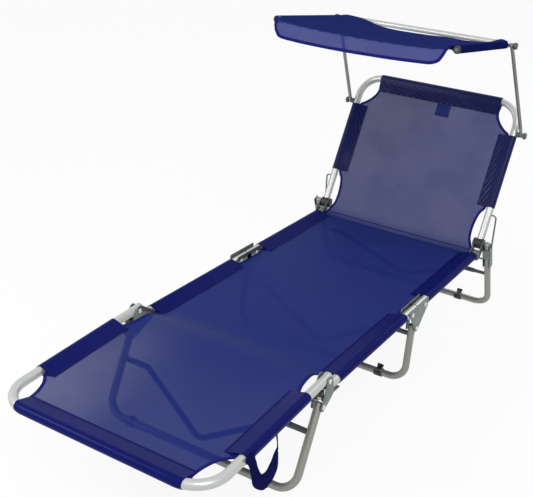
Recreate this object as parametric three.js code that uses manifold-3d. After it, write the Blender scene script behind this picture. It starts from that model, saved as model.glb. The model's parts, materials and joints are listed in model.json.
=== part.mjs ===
// Folding sun lounger with a tilting canopy: a foot, a middle and a rear section and a backrest
// on three U-shaped legs. Millimetres, +Z up. X runs across, Y runs from the foot end to the head.
import * as THREE from "three";
import { mergeVertices } from "three/addons/utils/BufferGeometryUtils.js";
import Module from "manifold-3d";

const wasm = await Module();
wasm.setup();

// Clearances
const touchGap = 0.3; // between pieces that touch
const turnGap = 0.3; // round a pin in its hole
const plateGap = 0.4; // between a tube and the plates beside it
const overrun = 5; // how far a cutter passes a face

// Frame tubes of the sections
const tubeRadius = 11;
const tubeWall = 1.2;
const railOffset = 264; // rail axis from the middle
const deckHeight = 228; // rail axis above the floor
const cornerRadius = 70; // bend of the foot and backrest frames
const footLength = 445; // foot bar to foot hinge
const middleLength = 493; // foot hinge to the centre of the middle hinge
const rearLength = 477; // centre of the middle hinge to backrest hinge
const backrestLength = 435; // backrest hinge to top bar
const hingeRise = 26; // foot and backrest hinge above the rail axis
const footDrop = 3.2; // degrees that the foot section slopes down
const backrestLean = 62.2; // degrees above flat

// Pins and the stamped brackets
const pinRadius = 3.5;
const pinHeadRadius = 6.5;
const pinHeadThickness = 2.5;
const plateThickness = 2;
const lugRadius = 14; // plate round a pin
const tongueRadius = 11; // inner plate round the middle leg pin, clear of the folding brace
const footStub = 16; // foot tube past its hinge
const railStart = 23; // middle rail starts this far past the foot hinge
const footBracketReach = 53; // bracket end past the foot hinge
const foldPivotSpread = 80; // the two pivots of the middle hinge
const centreBracketLength = 140;
const railEndGap = 4; // between the two rail ends in the middle hinge
const plateRise = 17; // plate top above the rail axis
const webWidth = 15; // leaves room for the rail end to swing down
const rearRailEnd = 19; // rear rail stops this far before the backrest hinge
const rearBracketReach = 41;
const backrestStub = 12; // backrest tube past its hinge
const hingeDiscRadius = 15;
const hingeDiscThickness = 5;
const stopWidth = 14;
const stopHeight = 13;
const stopSetback = 32; // stop block before the foot hinge

// Legs: each pivot lies a drop below the rail axis, the front one a setback before the foot hinge
const legRadius = 9.5;
const legWall = 1.2;
const legBendRadius = 45;
const frontLegSetback = 20;
const frontLegDrop = 30;
const frontLegLean = 24; // degrees towards the foot end
const middleLegDrop = 54;
const middleLegLean = 2; // degrees towards the foot end
const rearLegLean = -24.9; // degrees, so towards the head end
const legEndGap = 9.5; // tube past the pivot of a leg
const braceRadius = 7;
const braceEarDrop = 21.6; // brace ends below the middle leg pins; all braces rise alike
const braceLowRise = 28; // middle of the brace above the bar axis
const braceShoulder = 66; // straight stretch at each end of the brace
const braceBendRadius = 30;
const rivetHeadRadius = 5;
const rivetHeadThickness = 3;
const clipInset = 74; // clip from the rail axis
const clipWidth = 22;
const clipWall = 2.5;
const clipSole = 0.2; // flat sole below the clip's ring
const clipTabLength = 14;
const clipTabThickness = 3;

// Toothed channel on the rear leg, and the wire support that stands in its teeth
const channelThickness = 1.5;
const channelDepth = 13; // plate past the leg axis, at the root of the teeth
const toothPitch = 15;
const toothHeight = 3;
const toothCount = 5;
const firstToothDistance = 24; // from the hinge down the leg
const toothFlankShare = 0.06; // of a pitch, from root down to tip
const wireRadius = 2.5;
const wireBendRadius = 9;
const wirePivotDistance = 90.6; // up the backrest

// Canopy arms and frame
const armPivotSetback = 89.4; // below the top bar axis
const armLength = 338;
const armAngle = 59; // degrees that the arms point forward above flat
const armWidth = 11;
const armThickness = 6.5;
const armEndRadius = 7.5;
const spacerLength = 8.5;
const spacerRadius = 8;
const washerRadius = 6;
const armSideGap = 0.8;
const knobRadius = 10;
const knobLobeRadius = 3;
const knobLobes = 6;
const knobThickness = 12;
const screwRadius = 3;
const canopyTubeRadius = 8;
const canopyTubeWall = 1;
const canopyInset = 11; // canopy side tube from the rail axis
const canopyReach = 392; // pivot to the front ends
const canopyRear = 32; // pivot to the rear bar
const canopyBendRadius = 26;
const canopySlope = -6.1; // degrees, front end up
const capLength = 9;
const capRadius = 11;

// Fabric: a sheet with a sleeve round each tube
const clothThickness = 1.6;
const sleeveWall = 0.9;
const sleeveGap = 0.5;
const hemReach = 38; // stitch line from the tube axis
const sheetTuck = 15; // sheet edge inside the hem, from the tube axis
const deckSag = 6;
const scallopWidth = 34; // how far a scallop cuts in from the sheet edge
const cornerScallop = 90; // its length at the frame corners
const cornerSleeveStart = 118; // side sleeve from the end bar axis
const footSleeveEnd = 78; // side sleeve stops this far before the foot hinge
const sleeveClearance = 5; // between a sleeve and the nearest bracket
const backrestSleeveStart = 117;
const hingeScallop = 55; // length of the scallops at the hinges
const panelGap = 2; // half the gap between two panels
const rearPanelEnd = 20;
const backrestPanelStart = 30; // below the backrest hinge, at the crease
const rampLength = 46; // middle panel climbs to the foot hinge over this length
const canopyClothDip = 0.4; // sheet below the top of the canopy tube
const canopySag = 12;
const valanceHeight = 50;
const valanceFlare = 8; // foot of the valance forward of its top
const canopySleeveWall = 1;
const strapWidth = 26;
const strapThickness = 1.8;
const strapStart = 160; // foot end to the middle of the carry strap
const strapSpread = 78;
const strapDrop = 102;

const degree = Math.PI / 180;
const round = { small: 3, coarse: 5, medium: 6 }; // steps of a half turn
const bendSteps = 5;
const boreSides = 8;
const scallopSteps = 5;
const canopySteps = 6;
const seatColumns = 8;
const canopyColumns = 10;

// Places worked out from the sizes
const footHingeY = footLength;
const centreY = footHingeY + middleLength;
const backHingeY = centreY + rearLength;
const hingeHeight = deckHeight + hingeRise;
const plateInner = tubeRadius + plateGap;
const plateOuter = plateInner + plateThickness;
const rearLegOffset =
  railOffset + plateOuter + touchGap + channelThickness + touchGap + legRadius;
const footRadius = legRadius + touchGap + clipWall + clipSole; // bar axis above the floor
const middleLegLength = (deckHeight - middleLegDrop - footRadius) / Math.cos(middleLegLean * degree);
const braceRise = middleLegLength - braceEarDrop;
const clipOffset = railOffset - clipInset;
const canopyOffset = railOffset - canopyInset;
const armPivotDistance = backrestLength - armPivotSetback;
const topSleeveEnd = armPivotSetback + spacerRadius + touchGap * 2;
const middleSleeveStart = footBracketReach + sleeveClearance;
const centreSleeveGap = centreBracketLength / 2 + sleeveClearance;
const rearSleeveEnd = rearBracketReach + sleeveClearance;
const canopyClothRise = canopyTubeRadius - canopyClothDip;
const sleeveInner = tubeRadius + sleeveGap;
const sleeveOuter = sleeveInner + sleeveWall;
const sheetHalf = railOffset - sheetTuck;
const narrowHalf = sheetHalf - scallopWidth / 2; // at the hinges
const endSleeveHalf = railOffset - cornerRadius - touchGap; // sleeve on the straight of an end bar
const lastTooth = firstToothDistance + (toothCount - 1) * toothPitch;
const frontLegPin = [footHingeY - frontLegSetback, deckHeight - frontLegDrop];
const middleLegPin = [centreY, deckHeight - middleLegDrop];
const sides = [
  ["right", 1],
  ["left", -1],
];

const lounger = new THREE.Group();

// Materials
const finish = (color, roughness, metalness) => ({ color, roughness, metalness });
const silver = finish("#c9ccc8", 0.35, 0.8);
const grey = finish("#94978f", 0.45, 0.7);
const zinc = finish("#84908a", 0.5, 0.8);
const darkGrey = finish("#46494b", 0.6, 0.3);
const black = finish("#1b1c1e", 0.55, 0);
const meshCloth = finish("#323a78", 0.9, 0);
const navy = finish("#20266e", 0.85, 0);
const bright = finish("#d0d2d0", 0.3, 0.9);

// Solids and meshes
function solid(geometry) {
  const plain = geometry.index ? geometry.toNonIndexed() : geometry.clone();
  plain.deleteAttribute("normal");
  plain.deleteAttribute("uv");
  const merged = mergeVertices(plain, touchGap / 1000);
  const vertProperties = merged.attributes.position.array;
  const triVerts = new Uint32Array(merged.index.array);
  return new wasm.Manifold(new wasm.Mesh({ numProp: 3, vertProperties, triVerts }));
}

function join(...parts) {
  return parts.map((part) => (part.isBufferGeometry ? solid(part) : part)).reduce((a, b) => a.add(b));
}

function cut(body, ...cutters) {
  const start = body.isBufferGeometry ? solid(body) : body;
  return cutters.map(solid).reduce((a, b) => a.subtract(b), start);
}

function surface(body) {
  const { vertProperties, triVerts } = body.getMesh();
  const geometry = new THREE.BufferGeometry();
  geometry.setAttribute("position", new THREE.BufferAttribute(vertProperties, 3));
  geometry.setIndex(new THREE.BufferAttribute(triVerts, 1));
  geometry.computeVertexNormals();
  return geometry;
}

function addPiece(group, name, shape, material) {
  const geometry = shape.isBufferGeometry ? shape : surface(shape);
  const mesh = new THREE.Mesh(geometry, new THREE.MeshStandardMaterial(material));
  mesh.name = name;
  group.add(mesh);
}

function groupAt(parent, x, y, z, turn = 0) {
  const group = new THREE.Group();
  group.position.set(x, y, z);
  group.rotation.x = turn;
  parent.add(group);
  return group;
}

// Profiles drawn in (Y, Z) and pushed along X, between two distances from the middle on one side
function acrossX(shape, side, near, far, segments = round.medium) {
  const geometry = new THREE.ExtrudeGeometry(shape, {
    depth: far - near,
    bevelEnabled: false,
    curveSegments: segments,
  });
  const toYZ = new THREE.Matrix4().makeBasis(
    new THREE.Vector3(0, 1, 0),
    new THREE.Vector3(0, 0, 1),
    new THREE.Vector3(1, 0, 0),
  );
  return geometry.applyMatrix4(toYZ).translate(side > 0 ? near : -far, 0, 0);
}

// Profiles drawn in (X, Z) and pushed along Y
function alongY(shape, from, to, segments = round.medium) {
  const geometry = new THREE.ExtrudeGeometry(shape, {
    depth: to - from,
    bevelEnabled: false,
    curveSegments: segments,
  });
  return geometry.rotateX(Math.PI / 2).translate(0, to, 0);
}

// An outline that runs round circles [u, v, radius] like a belt, counter-clockwise
function belt(circles) {
  const count = circles.length;
  const leaving = circles.map(([u, v, r], i) => {
    const [nextU, nextV, nextR] = circles[(i + 1) % count];
    const du = nextU - u;
    const dv = nextV - v;
    return Math.atan2(dv, du) - Math.acos((r - nextR) / Math.hypot(du, dv));
  });
  const shape = new THREE.Shape();
  circles.forEach(([u, v, r], i) => {
    const start = leaving[(i + count - 1) % count];
    let end = leaving[i];
    while (end < start) end += 2 * Math.PI;
    shape.absarc(u, v, r, start, end, false);
  });
  return shape;
}

function disc(u, v, radius) {
  return new THREE.Shape().absarc(u, v, radius, 0, 2 * Math.PI, false);
}

function hole(shape, u, v, radius) {
  shape.holes.push(new THREE.Path().absarc(u, v, radius, 0, 2 * Math.PI, true));
  return shape;
}

function ring(u, v, outer, inner) {
  return hole(disc(u, v, outer), u, v, inner);
}

function block(side, near, far, y0, y1, z0, z1) {
  const box = new THREE.BoxGeometry(far - near, y1 - y0, z1 - z0);
  return box.translate((side * (near + far)) / 2, (y0 + y1) / 2, (z0 + z1) / 2);
}

// A path through chosen stations, so that a swept tube has its rings exactly there
class StationPath extends THREE.Curve {
  constructor(stations) {
    super();
    this.stations = stations;
  }
  getPoint(t) {
    const last = this.stations.length - 1;
    const index = Math.min(Math.floor(t * last + 1e-6), last - 1);
    return this.stations[index].clone().lerp(this.stations[index + 1], t * last - index);
  }
  getPointAt(t) {
    return this.getPoint(t);
  }
  getTangentAt(t) {
    const last = this.stations.length - 1;
    const index = Math.round(t * last);
    const before = this.stations[Math.max(index - 1, 0)];
    const here = this.stations[index];
    const after = this.stations[Math.min(index + 1, last)];
    const into = here.clone().sub(before).normalize();
    const out = after.clone().sub(here).normalize();
    return into.add(out).normalize();
  }
}

// Corner points [x, y, z] joined by straight stretches and round bends
function bentPath(corners, bendRadius) {
  const points = corners.map((corner) => new THREE.Vector3(...corner));
  const stations = [points[0]];
  for (let i = 1; i < points.length - 1; i++) {
    const into = points[i].clone().sub(points[i - 1]).normalize();
    const out = points[i + 1].clone().sub(points[i]).normalize();
    const turn = into.angleTo(out);
    const back = bendRadius * Math.tan(turn / 2);
    const start = points[i].clone().addScaledVector(into, -back);
    const inward = out.clone().addScaledVector(into, -out.dot(into)).normalize();
    const centre = start.clone().addScaledVector(inward, bendRadius);
    for (let k = 0; k <= bendSteps; k++) {
      const angle = (turn * k) / bendSteps;
      const station = centre.clone().addScaledVector(inward, -bendRadius * Math.cos(angle));
      stations.push(station.addScaledVector(into, bendRadius * Math.sin(angle)));
    }
  }
  stations.push(points[points.length - 1]);
  return new StationPath(stations);
}

// The bore has few sides, but the area of the round one
function tubeProfile(radius, wall) {
  const profile = disc(0, 0, radius);
  if (!wall) return profile;
  const step = (2 * Math.PI) / boreSides;
  const reach = (radius - wall) * Math.sqrt(step / Math.sin(step));
  const bore = new THREE.Path();
  for (let side = 0; side < boreSides; side++) {
    const point = [reach * Math.cos(-side * step), reach * Math.sin(-side * step)];
    if (side === 0) bore.moveTo(...point);
    else bore.lineTo(...point);
  }
  bore.closePath();
  profile.holes.push(bore);
  return profile;
}

function sweep(path, radius, wall, segments = round.medium) {
  const profile = tubeProfile(radius, wall);
  return new THREE.ExtrudeGeometry(profile, {
    steps: path.stations.length - 1,
    extrudePath: path,
    curveSegments: segments,
  });
}

function straightTube(side, y0, y1) {
  const path = new StationPath([
    new THREE.Vector3(side * railOffset, y0, deckHeight),
    new THREE.Vector3(side * railOffset, y1, deckHeight),
  ]);
  return sweep(path, tubeRadius, tubeWall);
}

function pinHole(y, z, radius = pinRadius) {
  const reach = rearLegOffset + legRadius + overrun;
  return acrossX(disc(y, z, radius + turnGap), 1, -reach, reach, round.coarse);
}

// A headed pin across X on one side, between two distances from the middle
function pin(side, y, z, near, far) {
  const barrel = (radius, from, to) => acrossX(disc(y, z, radius), side, from, to, round.coarse);
  return join(
    barrel(pinRadius, near, far),
    barrel(pinHeadRadius, far, far + pinHeadThickness),
    barrel(pinHeadRadius, near - pinHeadThickness, near),
  );
}

// A sheet with rows [y, z, half width, sag], thickened both ways and closed at its edges
function sheet(rows, columns, thickness) {
  const grid = rows.map(([y, z, half, sag]) => {
    const row = [];
    for (let j = 0; j <= columns; j++) {
      const u = (2 * j) / columns - 1;
      row.push(new THREE.Vector3(u * half, y, z - sag * (1 - u * u)));
    }
    return row;
  });
  const last = rows.length - 1;
  const at = (i, j) => grid[Math.min(Math.max(i, 0), last)][Math.min(Math.max(j, 0), columns)];
  const faces = [[], []];
  grid.forEach((row, i) =>
    row.forEach((point, j) => {
      const across = at(i, j + 1).clone().sub(at(i, j - 1));
      const along = at(i + 1, j).clone().sub(at(i - 1, j));
      const normal = across.cross(along).normalize();
      faces[0].push(point.clone().addScaledVector(normal, thickness / 2));
      faces[1].push(point.clone().addScaledVector(normal, -thickness / 2));
    }),
  );
  const wide = columns + 1;
  const lower = faces[0].length;
  const index = [];
  const quad = (a, b, c, d) => index.push(a, b, c, a, c, d);
  for (let i = 0; i < last; i++)
    for (let j = 0; j < columns; j++) {
      const a = i * wide + j;
      quad(a, a + 1, a + 1 + wide, a + wide);
      quad(lower + a, lower + a + wide, lower + a + 1 + wide, lower + a + 1);
    }
  for (let j = 0; j < columns; j++) {
    const far = last * wide + j;
    quad(j, lower + j, lower + j + 1, j + 1);
    quad(far, far + 1, lower + far + 1, lower + far);
  }
  for (let i = 0; i < last; i++) {
    const left = i * wide;
    const right = left + columns;
    quad(left, left + wide, lower + left + wide, lower + left);
    quad(right, lower + right, lower + right + wide, right + wide);
  }
  const geometry = new THREE.BufferGeometry();
  const flat = [...faces[0], ...faces[1]].flatMap((p) => [p.x, p.y, p.z]);
  geometry.setAttribute("position", new THREE.Float32BufferAttribute(flat, 3));
  geometry.setIndex(index);
  return geometry;
}

// A sleeve round a tube, drawn in a plane across it, with its hem towards the middle
function sleeveShape(u, v, towards) {
  const hem = [u + towards * hemReach, v, clothThickness / 2];
  return hole(belt([[u, v, sleeveOuter], hem]), u, v, sleeveInner);
}

function sideSleeve(side, from, to, z) {
  return alongY(sleeveShape(side * railOffset, z, -side), from, to);
}

// Rows of a sheet that narrows in a quarter ellipse between two places along Y
function scallopRows(from, to, z, startHalf, endHalf) {
  const rows = [];
  for (let k = 0; k <= scallopSteps; k++) {
    const angle = (k / scallopSteps) * (Math.PI / 2);
    const narrowing = startHalf > endHalf;
    const y = from + (to - from) * (narrowing ? Math.sin(angle) : 1 - Math.cos(angle));
    const share = narrowing ? 1 - Math.cos(angle) : Math.sin(angle);
    rows.push([y, z, startHalf + (endHalf - startHalf) * share, 0]);
  }
  return rows;
}

// Brackets
function channelBracket(side, outline, webs, pinPlaces, innerOutlines = [outline]) {
  const innerPlates = innerOutlines.map((shape) =>
    acrossX(shape, side, railOffset - plateOuter, railOffset - plateInner, round.coarse),
  );
  const outerPlate = acrossX(outline, side, railOffset + plateInner, railOffset + plateOuter, round.coarse);
  const webTop = deckHeight - plateInner;
  const bridges = webs.map(([y0, y1]) =>
    block(side, railOffset - plateOuter, railOffset + plateOuter, y0, y1, webTop - plateThickness, webTop),
  );
  const holes = pinPlaces.map(([y, z]) => pinHole(y, z));
  return cut(join(outerPlate, ...innerPlates, ...bridges), ...holes);
}

function rivets(side, places) {
  return places.map(([y, z]) =>
    acrossX(
      disc(y, z, rivetHeadRadius),
      side,
      railOffset + plateOuter - plateThickness / 2,
      railOffset + plateOuter + rivetHeadThickness / 2,
      round.small,
    ),
  );
}

const webBase = deckHeight - plateInner - plateThickness;

function footBracket(side) {
  const end = footHingeY + footBracketReach;
  const edge = plateThickness;
  const outline = belt([
    [...frontLegPin, lugRadius],
    [end - edge, webBase + edge, edge],
    [end - edge, deckHeight + tubeRadius, edge],
    [footHingeY, hingeHeight, lugRadius],
    [footHingeY - stopSetback, hingeHeight - lugRadius, edge],
  ]);
  const pins = [frontLegPin, [footHingeY, hingeHeight]];
  const web = [footHingeY + railStart, end];
  const rivetAt = [[end - lugRadius, deckHeight]];
  return join(channelBracket(side, outline, [web], pins), ...rivets(side, rivetAt));
}

function centreBracket(side) {
  const half = centreBracketLength / 2;
  const spread = foldPivotSpread / 2;
  const edge = plateThickness;
  const outline = belt([
    [...middleLegPin, lugRadius],
    [centreY + half - edge, webBase + edge, edge],
    [centreY + half - edge, deckHeight + plateRise - edge, edge],
    [centreY - half + edge, deckHeight + plateRise - edge, edge],
    [centreY - half + edge, webBase + edge, edge],
  ]);
  const pins = [middleLegPin, [centreY - spread, deckHeight], [centreY + spread, deckHeight]];
  const webs = [
    [centreY - half, centreY - half + webWidth],
    [centreY + half - webWidth, centreY + half],
  ];
  const strip = belt([
    [centreY + half - edge, webBase + edge, edge],
    [centreY + half - edge, deckHeight + plateRise - edge, edge],
    [centreY - half + edge, deckHeight + plateRise - edge, edge],
    [centreY - half + edge, webBase + edge, edge],
  ]);
  const tongue = belt([
    [...middleLegPin, tongueRadius],
    [centreY, deckHeight, tongueRadius],
  ]);
  return channelBracket(side, outline, webs, pins, [strip, tongue]);
}

function rearBracket(side) {
  const start = backHingeY - rearBracketReach;
  const edge = plateThickness;
  const outline = belt([
    [start + edge, webBase + edge, edge],
    [backHingeY - rearRailEnd, webBase + edge, edge],
    [backHingeY, hingeHeight, lugRadius],
    [start + edge, deckHeight + tubeRadius, edge],
  ]);
  const web = [start, backHingeY - rearRailEnd];
  return channelBracket(side, outline, [web], [[backHingeY, hingeHeight]]);
}

// Foot section: built round its hinge axis, with -Y towards the foot end
function footFrame() {
  const path = bentPath(
    [
      [railOffset, footStub, 0],
      [railOffset, -footLength, 0],
      [-railOffset, -footLength, 0],
      [-railOffset, footStub, 0],
    ],
    cornerRadius,
  );
  return cut(sweep(path, tubeRadius, tubeWall), pinHole(0, 0));
}

function endSleeve(y, towards) {
  const shape = sleeveShape(y, 0, towards);
  return acrossX(shape, 1, -endSleeveHalf, endSleeveHalf);
}

function footPanel() {
  const scallopEnd = -footLength + cornerSleeveStart;
  const rows = [
    [-footLength + hemReach / 2, 0, endSleeveHalf, 0],
    ...scallopRows(scallopEnd - cornerScallop, scallopEnd, 0, sheetHalf - scallopWidth, sheetHalf),
    [(scallopEnd - footSleeveEnd) / 2, 0, sheetHalf, deckSag],
    ...scallopRows(-footSleeveEnd, -footSleeveEnd + hingeScallop, 0, sheetHalf, narrowHalf),
    [-panelGap * 2, 0, narrowHalf, 0],
  ];
  return join(
    sheet(rows, seatColumns, clothThickness),
    ...sides.map(([, side]) => sideSleeve(side, scallopEnd, -footSleeveEnd, 0)),
    endSleeve(-footLength, 1),
  );
}

// Carry strap: a folded loop of webbing that hangs from the right sleeve
function carryStrap() {
  const half = strapWidth / 2;
  const near = railOffset + sleeveOuter + touchGap;
  const left = strapStart - strapSpread / 2 - footLength;
  const right = left + strapSpread;
  const outline = new THREE.Shape();
  outline.moveTo(left - half, half);
  outline.lineTo(left - half, -half);
  outline.lineTo((left + right) / 2 - half, -strapDrop);
  outline.lineTo((left + right) / 2 + half, -strapDrop);
  outline.lineTo(right + half, -half);
  outline.lineTo(right + half, half);
  outline.lineTo(right - half, half);
  outline.lineTo(right - half, -half);
  outline.lineTo((left + right) / 2, -strapDrop + strapWidth);
  outline.lineTo(left + half, -half);
  outline.lineTo(left + half, half);
  return acrossX(outline, 1, near, near + strapThickness);
}

function stopBlock(side) {
  const y = footHingeY - stopSetback;
  const dip = (stopSetback + stopWidth) * Math.sin(footDrop * degree); // of the foot tube, at the block
  const top = hingeHeight - tubeRadius - dip - plateGap;
  const reach = plateInner - touchGap;
  return block(side, railOffset - reach, railOffset + reach, y, y + stopWidth, top - stopHeight, top);
}

// Middle and rear sections
function middleRail(side) {
  const rail = straightTube(side, footHingeY + railStart, centreY - railEndGap / 2);
  return cut(rail, pinHole(centreY - foldPivotSpread / 2, deckHeight));
}

function rearRail(side) {
  const rail = straightTube(side, centreY + railEndGap / 2, backHingeY - rearRailEnd);
  return cut(rail, pinHole(centreY + foldPivotSpread / 2, deckHeight));
}

function middlePanel() {
  const start = footHingeY + panelGap * 4;
  const level = footHingeY + middleSleeveStart;
  const end = centreY - centreSleeveGap;
  const rows = [
    [start, hingeHeight - clothThickness * 2, narrowHalf, 0],
    [level - rampLength / 2, deckHeight + hingeRise / 3, narrowHalf, 0],
    [level, deckHeight, sheetHalf - scallopWidth / 4, 0],
    [level + scallopWidth / 2, deckHeight, sheetHalf, 0],
    [(level + end) / 2, deckHeight, sheetHalf, deckSag],
    ...scallopRows(end, end + hingeScallop, deckHeight, sheetHalf, narrowHalf),
    [centreY - panelGap, deckHeight, narrowHalf, 0],
  ];
  return join(
    sheet(rows, seatColumns, clothThickness),
    ...sides.map(([, side]) => sideSleeve(side, level, end, deckHeight)),
  );
}

function rearPanel() {
  const start = centreY + centreSleeveGap;
  const end = backHingeY - rearSleeveEnd;
  const rows = [
    [centreY + panelGap, deckHeight, narrowHalf, 0],
    ...scallopRows(start - hingeScallop, start, deckHeight, narrowHalf, sheetHalf),
    [(start + end) / 2, deckHeight, sheetHalf, deckSag],
    [end, deckHeight, sheetHalf, 0],
    [backHingeY - rearPanelEnd, deckHeight, narrowHalf, 0],
  ];
  return join(
    sheet(rows, seatColumns, clothThickness),
    ...sides.map(([, side]) => sideSleeve(side, start, end, deckHeight)),
  );
}

// Legs: built hanging from the pivot, along -Z, in the plane of the leg
function leg(offset, length) {
  const path = bentPath(
    [
      [offset, 0, legEndGap],
      [offset, 0, -length],
      [-offset, 0, -length],
      [-offset, 0, legEndGap],
    ],
    legBendRadius,
  );
  return cut(sweep(path, legRadius, legWall), pinHole(0, 0));
}

function brace(offset, length) {
  const end = offset - legRadius - touchGap;
  const high = -length + braceRise;
  const low = -length + braceLowRise;
  const path = bentPath(
    [
      [end, 0, high],
      [end - braceShoulder, 0, high],
      [0, 0, low],
      [-end + braceShoulder, 0, high],
      [-end, 0, high],
    ],
    braceBendRadius,
  );
  return sweep(path, braceRadius, 0, round.coarse);
}

function legClip(side, length) {
  const bar = [0, -length];
  const outer = legRadius + touchGap + clipWall;
  const near = clipOffset - clipWidth / 2;
  const far = clipOffset + clipWidth / 2;
  const body = acrossX(ring(...bar, outer, legRadius + touchGap), side, near, far);
  return { body, near, far };
}

// A leg with its brace and its two clips; the clips stand square on the floor
function addLeg(group, name, offset, length, lean) {
  addPiece(group, `${name}_leg`, leg(offset, length), grey);
  addPiece(group, `${name}_brace`, brace(offset, length), darkGrey);
  for (const [sideName, side] of sides) {
    const { body, near, far } = legClip(side, length);
    const ridge = legRadius + touchGap + clipWall / 2;
    const foot = block(side, near, far, -clipTabLength / 2, clipTabLength / 2, -footRadius, -ridge);
    const tabHalf = clipTabThickness / 2;
    const tab = block(side, near, far, ridge, ridge + clipTabLength, -tabHalf, tabHalf);
    const square = (part) => part.rotateX(-lean).translate(0, 0, -length);
    addPiece(group, `${name}_foot_clip_${sideName}`, join(body, square(foot), square(tab)), black);
  }
}

// Toothed channel that wraps the top of the rear leg, and the wire support
function channelPlate() {
  const outline = new THREE.Shape();
  const top = firstToothDistance - toothPitch;
  outline.moveTo(-channelDepth, top);
  outline.lineTo(-channelDepth, -lastTooth - toothPitch / 2);
  outline.lineTo(channelDepth, -lastTooth - toothPitch / 2);
  for (let tooth = toothCount - 1; tooth >= 0; tooth--) {
    const root = -firstToothDistance - tooth * toothPitch;
    outline.lineTo(channelDepth + toothHeight, root - toothPitch * toothFlankShare);
    outline.lineTo(channelDepth, root);
  }
  outline.lineTo(channelDepth, top);
  return hole(outline, 0, 0, pinRadius + turnGap);
}

function toothedChannel(side) {
  const reach = legRadius + touchGap;
  const outer = reach + channelThickness;
  const plates = [
    acrossX(channelPlate(), side, rearLegOffset - outer, rearLegOffset - reach),
    acrossX(channelPlate(), side, rearLegOffset + reach, rearLegOffset + outer),
  ];
  const web = block(
    side,
    rearLegOffset - outer,
    rearLegOffset + outer,
    -channelDepth,
    -channelDepth + channelThickness,
    -lastTooth - toothPitch / 2,
    -lugRadius,
  );
  return join(...plates, web);
}

// Middle of the wire, out from and up from the root of a tooth, clear of both its flanks
function wireSeat() {
  const lower = Math.atan2(-toothPitch * toothFlankShare, toothHeight);
  const upper = Math.atan2(toothPitch * (1 - toothFlankShare), toothHeight);
  const middle = (lower + upper) / 2;
  const reach = (wireRadius + touchGap) / Math.sin((upper - lower) / 2);
  return { out: reach * Math.cos(middle), up: reach * Math.sin(middle) };
}

function wireSupport(pivot, seat) {
  const inside = railOffset - tubeRadius / 2;
  const path = bentPath(
    [
      [inside, ...pivot],
      [rearLegOffset, ...pivot],
      [rearLegOffset, ...seat],
      [-rearLegOffset, ...seat],
      [-rearLegOffset, ...pivot],
      [-inside, ...pivot],
    ],
    wireBendRadius,
  );
  return sweep(path, wireRadius, 0, round.coarse);
}

// Backrest: built round its hinge axis, with +Y up the backrest
function backrestFrame() {
  const path = bentPath(
    [
      [railOffset, -backrestStub, 0],
      [railOffset, backrestLength, 0],
      [-railOffset, backrestLength, 0],
      [-railOffset, -backrestStub, 0],
    ],
    cornerRadius,
  );
  return cut(
    sweep(path, tubeRadius, tubeWall),
    pinHole(0, 0),
    pinHole(wirePivotDistance, 0, wireRadius),
    pinHole(armPivotDistance, 0, screwRadius),
  );
}

function backrestPanel() {
  const waist = narrowHalf - scallopWidth / 4;
  const sleeveEnd = backrestLength - topSleeveEnd;
  const scallopEnd = backrestLength - (hemReach * 2) / 3;
  const rows = [
    [-backrestPanelStart, 0, narrowHalf, 0],
    [0, 0, waist, 0],
    ...scallopRows(backrestSleeveStart - hingeScallop, backrestSleeveStart, 0, waist, sheetHalf),
    [(backrestSleeveStart + sleeveEnd) / 2, 0, sheetHalf, deckSag],
    ...scallopRows(sleeveEnd, scallopEnd, 0, sheetHalf, sheetHalf - scallopWidth),
    [backrestLength - hemReach / 2, 0, endSleeveHalf, 0],
  ];
  return join(
    sheet(rows, seatColumns, clothThickness),
    ...sides.map(([, side]) => sideSleeve(side, backrestSleeveStart, sleeveEnd, 0)),
    endSleeve(backrestLength, -1),
  );
}

// Canopy arms lean inwards, from outside the backrest to beside the canopy frame
const armBase = railOffset + tubeRadius + touchGap + spacerLength + armSideGap;
const armTop = canopyOffset + canopyTubeRadius + sleeveGap + canopySleeveWall + armSideGap;

function canopyArm(side, rise) {
  const ends = [
    acrossX(disc(0, 0, armEndRadius), side, armBase, armBase + armThickness),
    acrossX(disc(...rise, armEndRadius), side, armTop, armTop + armThickness),
  ];
  const shift = armBase - armTop;
  const bar = new THREE.BoxGeometry(armThickness, armWidth, armLength);
  const lean = Math.atan2(shift, armLength);
  bar.rotateY(-side * lean);
  bar.rotateX(Math.atan2(-rise[0], rise[1]));
  bar.translate(side * (armBase + armTop + armThickness) / 2, rise[0] / 2, rise[1] / 2);
  return cut(join(bar, ...ends), pinHole(0, 0, screwRadius), pinHole(...rise, screwRadius));
}

function knob(side, y, z, seat, tip) {
  const lobes = [disc(y, z, knobRadius - knobLobeRadius)];
  for (let lobe = 0; lobe < knobLobes; lobe++) {
    const angle = (lobe / knobLobes) * 2 * Math.PI;
    const reach = knobRadius - knobLobeRadius;
    lobes.push(disc(y + reach * Math.cos(angle), z + reach * Math.sin(angle), knobLobeRadius));
  }
  const head = lobes.map((shape) => acrossX(shape, side, seat, seat + knobThickness, round.small));
  return join(acrossX(disc(y, z, screwRadius), side, tip, seat + knobThickness / 2), ...head);
}

// Canopy: built round the arm-top pivot, with -Y towards its front
function canopyFrame() {
  const path = bentPath(
    [
      [canopyOffset, -canopyReach, 0],
      [canopyOffset, canopyRear, 0],
      [-canopyOffset, canopyRear, 0],
      [-canopyOffset, -canopyReach, 0],
    ],
    canopyBendRadius,
  );
  return cut(sweep(path, canopyTubeRadius, canopyTubeWall), pinHole(0, 0, screwRadius));
}

function endCap(side) {
  const end = -canopyReach - touchGap;
  const head = alongY(disc(side * canopyOffset, 0, capRadius), end - capLength / 2, end);
  const plugRadius = canopyTubeRadius - canopyTubeWall - touchGap;
  const plug = alongY(disc(side * canopyOffset, 0, plugRadius), end, end + capLength);
  return join(head, plug);
}

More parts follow.
